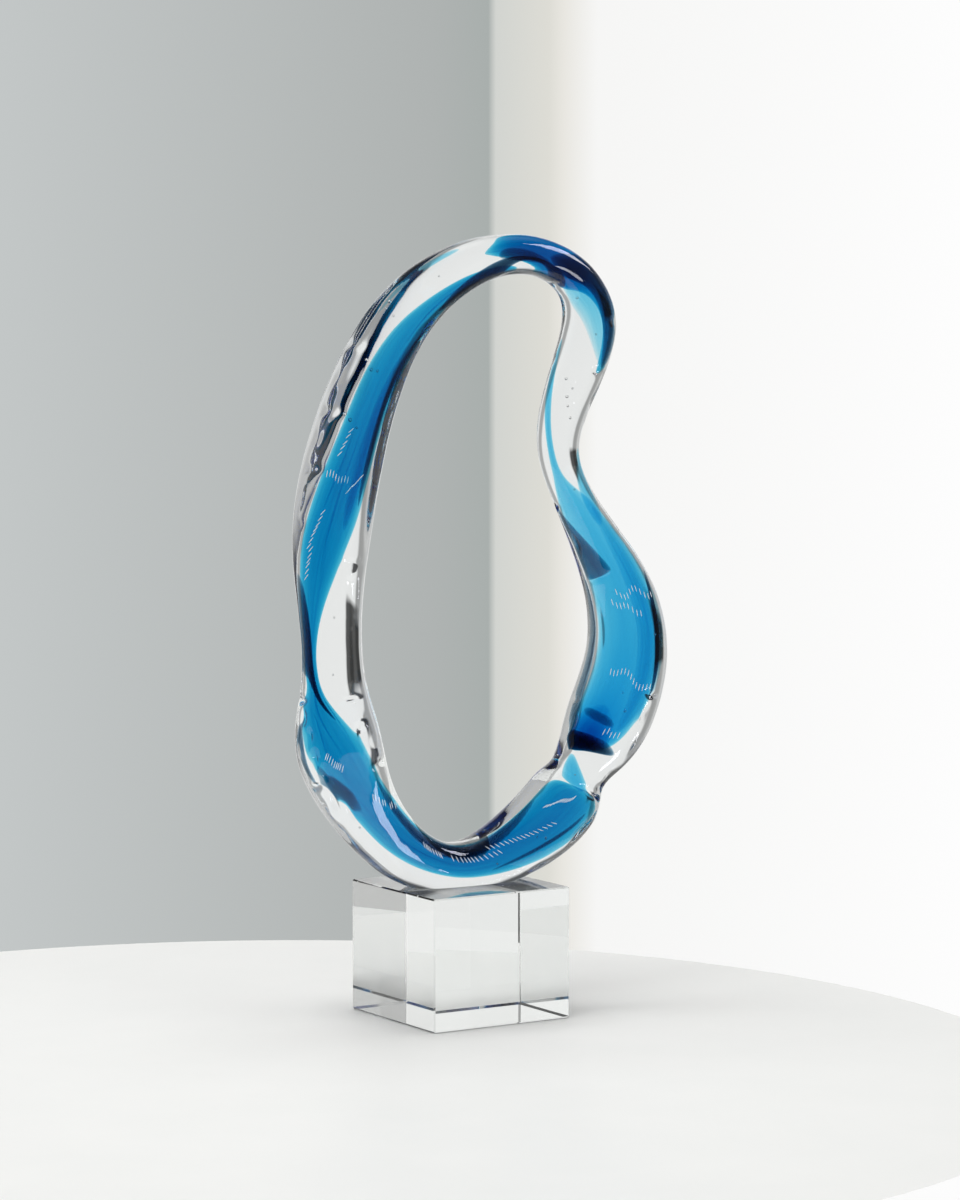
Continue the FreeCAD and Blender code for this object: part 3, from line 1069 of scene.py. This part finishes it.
def section_ring(
    mesh: bmesh.types.BMesh, centre: Vector, axes: tuple[Vector, Vector], half_out: float,
    half_back: float, corner: float,
) -> list[bmesh.types.BMVert]:
    """Add one rounded section of eight points.

    Args:
        mesh: the mesh to add to.
        centre: the section's middle.
        axes: its two directions, out of the ring's hole and to the back.
        half_out: half size along the first.
        half_back: half size along the second.
        corner: how far its diagonal points stand out, as a share.

    Returns:
        The section's points, in order round it.
    """
    points = bmesh.ops.create_circle(mesh, cap_ends=False, radius=1.0, segments=8)["verts"]
    for point in points:
        on_axis = min(abs(point.co.x), abs(point.co.y)) < NEAR_ZERO
        if not on_axis:
            point.co *= corner * math.sqrt(2)
    lie = Matrix((*axes, axes[0].cross(axes[1]))).transposed().to_4x4()
    bmesh.ops.scale(mesh, vec=(half_out, half_back, 1.0), verts=points)
    bmesh.ops.transform(mesh, matrix=Matrix.Translation(centre) @ lie, verts=points)
    return points


def join_sections(
    mesh: bmesh.types.BMesh, rings: list[list[bmesh.types.BMVert]], places: list[float],
    closed: bool,
) -> None:
    """Bridge every section to the next, and map the faces along and round the rod.

    Args:
        mesh: the mesh that holds the sections.
        rings: the sections' points.
        places: their places along the rod.
        closed: whether the last is joined to the first, or both are capped.
    """
    loops = [list({edge for point in ring for edge in point.link_edges}) for ring in rings]
    for near, far in zip(loops, loops[1:] + loops[:1] if closed else loops[1:]):
        bmesh.ops.bridge_loops(mesh, edges=near + far)
    if not closed:
        for loop in (loops[0], loops[-1]):
            bmesh.ops.edgenet_fill(mesh, edges=loop)
    spots = {
        point: (place, number / len(ring))
        for place, ring in zip(places, rings) for number, point in enumerate(ring)
    }
    layer = mesh.loops.layers.uv.new("rod_map")
    for face in mesh.faces:
        corners = [spots[corner.vert] for corner in face.loops]
        along_face = [place for place, _ in corners]
        # faces over the closing seams take the map on past its end, and don't run back over it
        wraps = closed and max(along_face) - min(along_face) > 2
        turns = max(way for _, way in corners) > 0.8 and len(corners) == 4
        for corner, (place, way) in zip(face.loops, corners):
            along = place + len(rings) if wraps and place < 1 else place
            corner[layer].uv = (along, way + 1 if turns and way == 0 else way)
    bmesh.ops.recalc_face_normals(mesh, faces=mesh.faces)


def smoothed(mesh: bmesh.types.BMesh, name: str, levels: int) -> bmesh.types.BMesh:
    """Smooth a coarse cage and give the dense skin back.

    Args:
        mesh: the cage, which is used up.
        name: the cage's name while it is smoothed.
        levels: how often each face is parted.

    Returns:
        The dense skin.
    """
    cage = bpy.data.meshes.new(name)
    mesh.to_mesh(cage)
    mesh.free()
    helper = bpy.data.objects.new(name, cage)
    bpy.context.scene.collection.objects.link(helper)
    subdivision = helper.modifiers.new("skin", "SUBSURF")
    subdivision.levels = subdivision.render_levels = levels
    bpy.context.view_layer.update()
    dense = bpy.data.meshes.new_from_object(
        helper.evaluated_get(bpy.context.evaluated_depsgraph_get()))
    skin = bmesh.new()
    skin.from_mesh(dense)
    bpy.data.objects.remove(helper)
    bpy.data.meshes.remove(dense)
    bpy.data.meshes.remove(cage)
    return skin


def piece_from(
    mesh: bmesh.types.BMesh, name: str, materials: list[bpy.types.Material], smooth: bool = True,
) -> bpy.types.Object:
    """Make a finished mesh a piece of the sculpture.

    Args:
        mesh: the piece's mesh, which is used up.
        name: the piece's name.
        materials: its material slots.
        smooth: whether its faces are shaded as one curved skin.

    Returns:
        The piece.
    """
    for face in mesh.faces:
        face.smooth = smooth
    data = bpy.data.meshes.new(name)
    mesh.to_mesh(data)
    mesh.free()
    for material in materials:
        data.materials.append(material)
    piece = bpy.data.objects.new(name, data)
    bpy.context.scene.collection.objects.link(piece)
    return piece


@dataclass
class GlassRing:
    """The clear casing, ground flat at its foot, with the film of adhesive under it."""

    rod: Rod
    levels: int = 4
    # how the path is probed for the fine stretches, and which edges run along it
    steps_per_station: int = 20
    probe: float = 0.1
    lengthwise_cosine: float = 0.75
    # the slow wander of the skin, and the quicker one that lies on it
    wander_mm: float = 16.0
    wander_height_mm: float = 0.16
    wander_start: Triple = (3.1, 0.0, 7.4)
    quick_times: float = 2.4
    quick_share: float = 0.35
    quick_start: Triple = (9.7, 2.0, 1.4)
    # how far a mark is felt, in its own sizes, and how fast it fades
    mark_reach: float = 2.2
    mark_fade: float = 2.0

    def body(self) -> bmesh.types.BMesh:
        """The whole rod before its foot is ground.

        Returns:
            The dense closed skin.
        """
        cage = bmesh.new()
        rings = []
        for number in range(len(ROD_STATIONS)):
            spot = self.rod.station(number)
            rings.append(section_ring(
                cage, spot.centre, (spot.out, spot.back), spot.half_thickness, spot.half_depth,
                spot.corner))
        places = [float(number) for number in range(len(rings))]
        join_sections(cage, rings, places, closed=True)
        skin = smoothed(cage, "rod_cage", self.levels)
        self.refine(skin)
        self.work(skin)
        return skin

    def refine(self, mesh: bmesh.types.BMesh) -> None:
        """Part the skin once more where the finest marks go.

        Args:
            mesh: the rod's dense skin.
        """
        steps = self.steps_per_station * len(ROD_STATIONS)
        path = KDTree(steps)
        for step in range(steps):
            path.insert(self.rod.blended(step / self.steps_per_station)[0], step)
        path.balance()
        along = []
        for edge in mesh.edges:
            first, last = (point.co for point in edge.verts)
            _, step, _ = path.find((first + last) / 2)
            place = step / self.steps_per_station
            if any(low < place < high for low, high in FINE_STRETCHES):
                run = self.rod.blended(place + self.probe)[0]
                run -= self.rod.blended(place - self.probe)[0]
                cosine = (last - first).normalized().dot(run.normalized())
                if abs(cosine) > self.lengthwise_cosine:
                    along.append(edge)
        bmesh.ops.subdivide_edges(mesh, edges=along, cuts=1, smooth=1.0, use_smooth_even=True)
        mesh.verts.ensure_lookup_table()

    def work(self, mesh: bmesh.types.BMesh) -> None:
        """Press the tool marks into the skin and let it wander as pulled glass does.

        Args:
            mesh: the rod's dense skin.
        """
        mesh.normal_update()
        skin = BVHTree.FromBMesh(mesh)
        near = KDTree(len(mesh.verts))
        for point in mesh.verts:
            near.insert(point.co, point.index)
        near.balance()
        pushes: dict[int, float] = {}
        waves = MM_PER_M / self.wander_mm
        quick_waves = MM_PER_M * self.quick_times / self.wander_mm
        for point in mesh.verts:
            slow = noise.noise(point.co * waves + Vector(self.wander_start))
            quick = noise.noise(point.co * quick_waves + Vector(self.quick_start))
            push = (slow + quick * self.quick_share) * self.wander_height_mm
            pushes[point.index] = push / MM_PER_M
        for mark in TOOL_MARKS:
            spot = self.rod.spot(mark.place)
            way = math.radians(mark.way_deg)
            towards = spot.out * math.cos(way) * spot.half_thickness
            towards += spot.back * math.sin(way) * spot.half_depth
            middle, normal, _, _ = skin.ray_cast(spot.centre, towards.normalized())
            along = spot.out.cross(spot.back)
            side = normal.cross(along)
            reach = self.mark_reach * max(mark.along_mm, mark.round_mm) / MM_PER_M
            for place, index, _ in near.find_range(middle, reach):
                away = place - middle
                far = (away.dot(along) * MM_PER_M / mark.along_mm) ** 2
                far += (away.dot(side) * MM_PER_M / mark.round_mm) ** 2
                facing = max(0.0, mesh.verts[index].normal.dot(normal))
                depth = mark.deep_mm / MM_PER_M * math.exp(-self.mark_fade * far)
                pushes[index] += depth * facing
        for point in mesh.verts:
            point.co -= point.normal * pushes[point.index]

    @staticmethod
    def cut(mesh: bmesh.types.BMesh, height: float, keep_above: bool) -> list[bmesh.types.BMFace]:
        """Cut a mesh level and close the cut with flat faces.

        Args:
            mesh: the closed mesh.
            height: height of the cut.
            keep_above: whether the upper part stays.

        Returns:
            The new flat faces.
        """
        bmesh.ops.bisect_plane(
            mesh, geom=mesh.verts[:] + mesh.edges[:] + mesh.faces[:], dist=CUT_SLACK,
            plane_co=(0.0, 0.0, height), plane_no=(0.0, 0.0, 1.0),
            clear_outer=not keep_above, clear_inner=keep_above,
        )
        rim = [edge for edge in mesh.edges if edge.is_boundary]
        made = bmesh.ops.edgenet_fill(mesh, edges=rim)
        for edge in rim:
            edge.smooth = False
        return made["faces"]

    def casing(self, glass: bpy.types.Material, contact: bpy.types.Material) -> bpy.types.Object:
        """Build the clear glass of the ring.

        Args:
            glass: finish of its skin.
            contact: finish of its glued seat.

        Returns:
            The piece.
        """
        mesh = self.body()
        seat = self.cut(mesh, self.rod.seat_height, keep_above=True)
        for face in seat:
            face.material_index = 1
        piece = piece_from(mesh, "clear_ring", [glass, contact])
        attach(piece, "root")
        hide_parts("clear_casing")
        return piece

    def film(self, adhesive: bpy.types.Material, contact: bpy.types.Material) -> bpy.types.Object:
        """Build the adhesive between the block and the seat.

        Args:
            adhesive: finish of its rim.
            contact: finish of its two wetted faces.

        Returns:
            The piece.
        """
        mesh = self.body()
        top = self.cut(mesh, self.rod.seat_height, keep_above=False)
        for face in top:
            face.material_index = 1
        bottom = self.cut(mesh, BLOCK_HEIGHT, keep_above=True)
        for face in bottom:
            face.material_index = 1
        piece = piece_from(mesh, "adhesive_film", [adhesive, contact])
        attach(piece, "root")
        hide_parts("glue_film")
        return piece


@dataclass
class BlueStrips:
    """The blue glass sealed inside the ring."""

    rod: Rod
    levels: int = 3
    streak_levels: int = 2
    # the threads drawn out inside the first strips: how many, how many rows long, how far off
    # the strip's middle, how they sway, and their sizes as shares
    threaded_strips: int = 2
    threads_per_station: float = 0.5
    thread_rows: tuple[int, int] = (3, 7)
    thread_drift: Pair = (-0.75, 0.75)
    thread_sway: Pair = (-0.25, 0.25)
    thread_bends: float = 4.0
    thread_limit: float = 0.8
    thread_front: float = 0.3
    thread_wide: Pair = (0.018, 0.05)
    thread_deep: Pair = (0.03, 0.07)
    thread_tip: float = 0.15
    seed: int = 11

    def strip(self, plan: StripPlan, glass: bpy.types.Material) -> bpy.types.Object:
        """Build one strip.

        Args:
            plan: its name and stations.
            glass: its finish.

        Returns:
            The piece.
        """
        cage = bmesh.new()
        rings = []
        for place, out_share, back_share, wide, deep in plan.rows:
            spot = self.rod.spot(place)
            centre = spot.centre + spot.out * (out_share * spot.half_thickness)
            centre += spot.back * (back_share * spot.half_depth)
            rings.append(section_ring(
                cage, centre, (spot.out, spot.back), wide * spot.half_thickness,
                deep * spot.half_depth, plan.corner))
        join_sections(cage, rings, [row[0] for row in plan.rows], closed=False)
        levels = self.streak_levels if plan.colour is Colour.DEEP else self.levels
        piece = piece_from(smoothed(cage, plan.name + "_cage", levels), plan.name, [glass])
        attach(piece, "root")
        if plan.node:
            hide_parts(plan.node)
        return piece

    def build(self, glasses: dict[Colour, bpy.types.Material]) -> list[bpy.types.Object]:
        """Build every strip.

        Args:
            glasses: the finish for each depth of colour.

        Returns:
            The pieces.
        """
        pieces = [self.strip(plan, glasses[plan.colour]) for plan in STRIPS]
        dice = random.Random(self.seed)
        for plan in STRIPS[:self.threaded_strips]:
            places = [row[0] for row in plan.rows]
            length = abs(places[-1] - places[0])
            for number in range(int(length * self.threads_per_station)):
                thread = self.thread(plan.rows, dice, f"{plan.name}_thread_{number + 1}")
                pieces.append(self.strip(thread, glasses[Colour.MIDDLE]))
        return pieces

    def thread(
        self, rows: tuple[StripRow, ...], dice: random.Random, name: str,
    ) -> StripPlan:
        """Plan one thin darker thread drawn out inside a strip.

        Args:
            rows: the strip's stations.
            dice: the seeded chance that places it.
            name: the thread's name.

        Returns:
            The plan.
        """
        # clear of the strip's own tips
        first = dice.randrange(1, len(rows) - 5)
        last = min(len(rows) - 2, first + dice.randrange(*self.thread_rows))
        drift = dice.uniform(*self.thread_drift)
        sway = dice.uniform(*self.thread_sway)
        wide = dice.uniform(*self.thread_wide)
        deep = dice.uniform(*self.thread_deep)
        made = []
        for number, (place, out_share, back_share, strip_wide, strip_deep) in enumerate(
                rows[first:last + 1]):
            share = number / (last - first)
            fade = self.thread_tip + math.sin(math.pi * share)
            offset = drift + sway * math.sin(self.thread_bends * share + drift)
            offset = max(-self.thread_limit, min(self.thread_limit, offset))
            made.append((
                place, out_share + offset * strip_wide,
                back_share - self.thread_front * strip_deep, wide * fade, deep * fade))
        return StripPlan(name, tuple(made), colour=Colour.DEEP)


@dataclass
class TrappedAir:
    """Round bubbles and rows of stretched seeds, sealed in the glass near its front."""

    rod: Rod
    seed_length_mm: float = 3.8
    seed_radius_mm: float = 0.20
    depth_share: float = -0.80
    row_waves: float = 9.0

    def at(self, place: float, out_share: float, back_share: float) -> tuple[Vector, RodSpot]:
        """Find a point in the rod.

        Args:
            place: its place along the rod.
            out_share: how far it lies out of the ring's hole.
            back_share: how far it lies to the back.

        Returns:
            The point, and the rod's spot there.
        """
        spot = self.rod.spot(place)
        point = spot.centre + spot.out * (out_share * spot.half_thickness)
        return point + spot.back * (back_share * spot.half_depth), spot

    def bubbles(self, air: bpy.types.Material) -> bpy.types.Object:
        """Build the round bubbles.

        Args:
            air: their finish.

        Returns:
            The piece.
        """
        mesh = bmesh.new()
        for place, out_share, back_share, radius in BUBBLES:
            point, _ = self.at(place, out_share, back_share)
            bmesh.ops.create_icosphere(
                mesh, subdivisions=2, radius=radius / MM_PER_M,
                matrix=Matrix.Translation(point))
        return self.sealed(mesh, "round_bubbles", air)

    def seeds(self, air: bpy.types.Material) -> bpy.types.Object:
        """Build the rows of stretched seeds.

        Args:
            air: their finish.

        Returns:
            The piece.
        """
        mesh = bmesh.new()
        for row in SEED_ROWS:
            for number in range(row.number):
                share = number / (row.number - 1)
                place = row.start[0] + (row.end[0] - row.start[0]) * share
                out_share = row.start[1] + (row.end[1] - row.start[1]) * share
                point, spot = self.at(place, out_share, self.depth_share)
                along = spot.out.cross(spot.back)
                wave = math.sin(share * self.row_waves + place)
                point += along * (row.wave_mm / MM_PER_M * wave)
                lean = Matrix.Rotation(math.radians(row.lean_deg), 4, "Y")
                lie = Matrix((spot.out, spot.back, along)).transposed().to_4x4()
                stretch = self.seed_length_mm / self.seed_radius_mm / 2
                size = Matrix.Diagonal((1.0, 1.0, stretch, 1.0))
                bmesh.ops.create_uvsphere(
                    mesh, u_segments=6, v_segments=5, radius=self.seed_radius_mm / MM_PER_M,
                    matrix=Matrix.Translation(point) @ lie @ lean @ size)
        return self.sealed(mesh, "stretched_seeds", air)

    @staticmethod
    def sealed(
        mesh: bmesh.types.BMesh, name: str, air: bpy.types.Material,
    ) -> bpy.types.Object:
        """Make the air a piece that rides with the rest.

        Args:
            mesh: the air's mesh, which is used up.
            name: the piece's name.
            air: its finish.

        Returns:
            The piece.
        """
        piece = piece_from(mesh, name, [air])
        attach(piece, "root")
        return piece


@dataclass
class CrystalBlock:
    """The sawn block under the ring, with the place on its top that the adhesive wets."""

    side: float = 0.080
    height: float = BLOCK_HEIGHT
    arris: float = 0.0007

    def build(
        self, crystal: bpy.types.Material, contact: bpy.types.Material, film: bpy.types.Object,
    ) -> bpy.types.Object:
        """Build the block.

        Args:
            crystal: finish of its faces.
            contact: finish of the wetted place.
            film: the adhesive, whose lower rim is that place's outline.

        Returns:
            The piece.
        """
        mesh = bmesh.new()
        bmesh.ops.create_cube(mesh, size=1.0)
        bmesh.ops.scale(mesh, vec=(self.side, self.side, self.height), verts=mesh.verts)
        bmesh.ops.translate(mesh, vec=(0.0, 0.0, self.height / 2), verts=mesh.verts)
        bmesh.ops.bevel(
            mesh, geom=mesh.edges[:], offset=self.arris, affect="EDGES", segments=1, profile=0.5,
            material=-1)
        top = max(mesh.faces, key=lambda face: face.calc_center_median().z)
        outline = list(top.edges)
        bmesh.ops.delete(mesh, geom=[top], context="FACES_ONLY")
        rim = self.rim_of(film, mesh)
        bmesh.ops.triangle_fill(mesh, edges=outline + rim, use_beauty=True)
        for face in bmesh.ops.edgenet_fill(mesh, edges=rim)["faces"]:
            face.material_index = 1
        bmesh.ops.recalc_face_normals(mesh, faces=mesh.faces)
        piece = piece_from(mesh, "crystal_block", [crystal, contact], smooth=False)
        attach(piece, "root")
        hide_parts("crystal_base")
        return piece

    def rim_of(self, film: bpy.types.Object, mesh: bmesh.types.BMesh) -> list[bmesh.types.BMEdge]:
        """Copy the film's lower rim into the block's mesh.

        Args:
            film: the adhesive.
            mesh: the block's mesh.

        Returns:
            The rim's edges.
        """
        wetted = bmesh.new()
        wetted.from_mesh(film.data)
        above = [
            face for face in wetted.faces
            if max(abs(point.co.z - self.height) for point in face.verts) > NEAR_ZERO]
        bmesh.ops.delete(wetted, geom=above, context="FACES")
        shape = bpy.data.meshes.new("wetted_place")
        wetted.to_mesh(shape)
        wetted.free()
        before = set(mesh.edges)
        mesh.from_mesh(shape)
        bpy.data.meshes.remove(shape)
        added = [edge for edge in mesh.edges if edge not in before]
        rim = [edge for edge in added if edge.is_boundary]
        faces = list({face for edge in added for face in edge.link_faces})
        bmesh.ops.delete(mesh, geom=faces, context="FACES_KEEP_BOUNDARY")
        return [edge for edge in rim if edge.is_valid]


@dataclass
class Studio:
    """The pale top, the room light and the camera at the photograph's angle."""

    turn_deg: float = -32.2
    dip_deg: float = 4.73
    target: Triple = (0.0118, 0.0, 0.2094)
    distance: float = 2.016
    lens_mm: float = 120.0
    sensor_mm: float = 36.0
    farthest: float = 50.0
    top_radius: float = 0.370
    top_middle: Pair = (-0.156, -0.077)
    top_gap: float = 0.0002
    sky: str = "F0F0FA"
    daylight: str = "F8F8F7"
    # between which heights the walls end and the ceiling's light begins, as the sine of the
    # angle up, and how bright the ceiling is
    wall_end: Pair = (0.34, 0.50)
    ceiling_start: Pair = (0.66, 0.80)
    ceiling_light: Pair = (0.10, 0.45)
    # how much of the room the backdrop's colours span, in front of the camera
    backdrop_span: Pair = (-0.12, 0.12)

    def camera(self) -> bpy.types.Object:
        """Set up the camera.

        Returns:
            The camera, which is the scene's own.
        """
        turn, dip = math.radians(self.turn_deg), math.radians(self.dip_deg)
        ahead = Vector((
            -math.sin(turn) * math.cos(dip), math.cos(turn) * math.cos(dip), -math.sin(dip)))
        data = bpy.data.cameras.new("product_camera")
        data.lens = self.lens_mm
        data.sensor_width = self.sensor_mm
        data.clip_end = self.farthest
        camera = bpy.data.objects.new("product_camera", data)
        bpy.context.scene.collection.objects.link(camera)
        camera.location = Vector(self.target) - ahead * self.distance
        camera.rotation_mode = "QUATERNION"
        camera.rotation_quaternion = ahead.to_track_quat("-Z", "Y")
        bpy.context.scene.camera = camera
        return camera

    def floor(self, finish: bpy.types.Material) -> bpy.types.Object:
        """Build the round pale top.

        Args:
            finish: its material.

        Returns:
            The top, which isn't part of the object.
        """
        mesh = bmesh.new()
        bmesh.ops.create_circle(mesh, cap_ends=True, radius=self.top_radius, segments=256)
        bmesh.ops.translate(mesh, vec=(*self.top_middle, -self.top_gap), verts=mesh.verts)
        data = bpy.data.meshes.new("pale_top")
        mesh.to_mesh(data)
        mesh.free()
        data.materials.append(finish)
        top = bpy.data.objects.new("pale_top", data)
        bpy.context.scene.collection.objects.link(top)
        return top

    @staticmethod
    def colours_along(
        tree: bpy.types.NodeTree, way: bpy.types.NodeSocket, stops: list[tuple[float, Shade]],
    ) -> bpy.types.NodeSocket:
        """Colour the room along one way across or round it.

        Args:
            tree: the world's nodes.
            way: how far along it is, from 0 to 1.
            stops: place and colour of each change.

        Returns:
            The colour.
        """
        ramp = add_node(tree, "ShaderNodeValToRGB", links={"Fac": way})
        ends = ramp.color_ramp.elements[0], ramp.color_ramp.elements[1]
        for (place, colour), end in zip((stops[0], stops[-1]), ends):
            end.position, end.color = place, colour
        for place, colour in stops[1:-1]:
            ramp.color_ramp.elements.new(place).color = colour
        return ramp.outputs["Color"]

    def light_along(
        self, tree: bpy.types.NodeTree, way: bpy.types.NodeSocket, table: tuple[Pair, ...],
        limit: float,
    ) -> bpy.types.NodeSocket:
        """Light the room along one way, from a table that runs from minus to plus a limit.

        Args:
            tree: the world's nodes.
            way: how far along it is, from 0 to 1.
            table: place and brightness of each change.
            limit: the table's limit.

        Returns:
            The brightness.
        """
        return self.colours_along(tree, way, [
            ((place + limit) / (2 * limit), (share, share, share, 1.0))
            for place, share in table])

    def room_light(
        self, tree: bpy.types.NodeTree, turn: bpy.types.NodeSocket, up: bpy.types.NodeSocket,
    ) -> bpy.types.NodeSocket:
        """Work out how bright the room is in every direction.

        Args:
            tree: the world's nodes.
            turn: the way round, from 0 to 1.
            up: the sine of the angle up.

        Returns:
            The brightness.
        """
        screens = self.light_along(tree, turn, ROOM_ROUND, HALF_TURN_DEG)
        doorway = self.light_along(tree, turn, DOORWAY, HALF_TURN_DEG)
        level = add_node(
            tree, "ShaderNodeMapRange", {"From Min": -1.0, "From Max": 1.0}, {"Value": up})
        opening = self.light_along(tree, level.outputs["Result"], DOORWAY_HEIGHTS, 1.0)
        dimmed = add_node(tree, "ShaderNodeMix", {"A": 1.0}, {"Factor": opening, "B": doorway})
        walls = add_node(
            tree, "ShaderNodeMath", links={0: screens, 1: dimmed.outputs["Result"]},
            operation="MULTIPLY")
        above_walls, ceiling = (
            add_node(
                tree, "ShaderNodeMapRange",
                {"From Min": low, "From Max": high, "To Min": dark, "To Max": bright},
                {"Value": up}, interpolation_type="SMOOTHSTEP").outputs["Result"]
            for (low, high), (dark, bright) in (
                (self.wall_end, (0.0, 1.0)), (self.ceiling_start, self.ceiling_light)))
        room = add_node(
            tree, "ShaderNodeMix",
            links={"Factor": above_walls, "A": walls.outputs["Value"], "B": ceiling})
        return room.outputs["Result"]

    def room(self) -> None:
        """Light the room: a shaded wall on the left, curtains and daylight on the right."""
        world = bpy.data.worlds.new("daylit_room")
        bpy.context.scene.world = world
        world.use_nodes = True
        tree = world.node_tree
        tree.nodes.clear()
        sight = add_node(tree, "ShaderNodeTexCoord").outputs["Generated"]
        across, ahead = (
            add_node(
                tree, "ShaderNodeVectorMath", {1: side.value}, {0: sight},
                operation="DOT_PRODUCT").outputs["Value"]
            for side in (Side.WINDOW, Side.BACKDROP))
        up = add_node(tree, "ShaderNodeSeparateXYZ", links={0: sight}).outputs["Z"]
        round_it = add_node(
            tree, "ShaderNodeMath", links={0: across, 1: ahead}, operation="ARCTAN2")
        turn = add_node(
            tree, "ShaderNodeMapRange", {"From Min": -math.pi, "From Max": math.pi},
            {"Value": round_it.outputs["Value"]}).outputs["Result"]
        seen = add_node(tree, "ShaderNodeLightPath")
        mirrored = self.light_along(tree, turn, MIRRORED_ROOM, HALF_TURN_DEG)
        kept = add_node(
            tree, "ShaderNodeMix", {"A": 1.0},
            {"Factor": seen.outputs["Is Reflection Ray"], "B": mirrored})
        strength = add_node(
            tree, "ShaderNodeMath",
            links={0: self.room_light(tree, turn, up), 1: kept.outputs["Result"]},
            operation="MULTIPLY")
        daylight = add_node(
            tree, "ShaderNodeBackground", {"Color": opaque(self.daylight)},
            {"Strength": strength.outputs["Value"]})
        spread = add_node(
            tree, "ShaderNodeMapRange",
            {"From Min": self.backdrop_span[0], "From Max": self.backdrop_span[1]},
            {"Value": across})
        colours = [(place, opaque(colour)) for place, colour in BACKDROP_STOPS]
        wall = add_node(
            tree, "ShaderNodeBackground",
            links={"Color": self.colours_along(tree, spread.outputs["Result"], colours)})
        both = add_node(
            tree, "ShaderNodeMixShader", links={
                0: seen.outputs["Is Camera Ray"], 1: daylight.outputs["Background"],
                2: wall.outputs["Background"]})
        add_node(tree, "ShaderNodeOutputWorld", links={"Surface": both.outputs["Shader"]})

    def softbox(self, plan: SoftLight) -> bpy.types.Object:
        """Hang one soft rectangular light.

        Args:
            plan: its place, aim, size, power and reach.

        Returns:
            The light, which nothing sees but what it acts on.
        """
        data = bpy.data.lights.new(plan.name, "AREA")
        data.shape = "RECTANGLE"
        data.size, data.size_y = plan.size
        data.energy = plan.power
        light = bpy.data.objects.new(plan.name, data)
        bpy.context.scene.collection.objects.link(light)
        light.location = plan.place
        light.rotation_mode = "QUATERNION"
        aim = Vector(plan.towards) - Vector(plan.place)
        light.rotation_quaternion = aim.to_track_quat("-Z", "Y")
        light.visible_camera = False
        light.visible_glossy = plan.reach is Reach.MIRRORED
        light.visible_transmission = False
        light.visible_diffuse = plan.reach is Reach.TABLE
        if plan.reach is Reach.MIRRORED:
            data.color = linear(self.sky)
        return light

    @staticmethod
    def look() -> None:
        """Let light pass through every skin of nested glass, and keep colours as they are."""
        scene = bpy.context.scene
        scene.view_settings.view_transform = "Standard"
        scene.cycles.max_bounces = 40
        scene.cycles.transmission_bounces = 40
        scene.cycles.glossy_bounces = 12
        scene.cycles.diffuse_bounces = 4
        scene.cycles.transparent_max_bounces = 40


def main() -> None:
    """Build the sculpture and its studio."""
    logging.basicConfig(level=logging.INFO, format="%(name)s: %(message)s")
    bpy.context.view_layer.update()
    contact = OpticalContact().material()
    rod = Rod()
    ring = GlassRing(rod)
    pieces = [
        ring.casing(HotWorkedClearGlass().material(), contact),
        ring.film(CuredAdhesive().material(), contact),
    ]
    glasses = {
        Colour.PALE: BlueColourGlass(
            "pale_blue_colour_glass", passed=(0.0, 0.758, 0.930), density_per_m=640.0,
            streak_tint="F0F8FC").material(),
        Colour.MIDDLE: BlueColourGlass().material(),
        Colour.DEEP: BlueColourGlass(
            "deep_blue_colour_glass", passed=(0.0, 0.30, 0.46), density_per_m=700.0).material(),
    }
    air = TrappedAir(rod)
    pieces.append(air.bubbles(AirInGlass().material()))
    # the seeds are opaque white with a painted glint, a faint glow of their own
    seeds = AirInGlass("stretched_air_seeds", clear=0.0, painted_glint=0.40)
    pieces.append(air.seeds(seeds.material()))
    pieces += BlueStrips(rod).build(glasses)
    pieces.append(CrystalBlock().build(CutCrystal().material(), contact, pieces[1]))
    studio = Studio()
    studio.camera()
    studio.floor(PaleTableTop().material())
    studio.room()
    for plan in LIGHTS:
        studio.softbox(plan)
    studio.look()
    for piece in pieces:
        log.info("%s: %d faces", piece.name, len(piece.data.polygons))


if __name__ == "__main__":
    main()
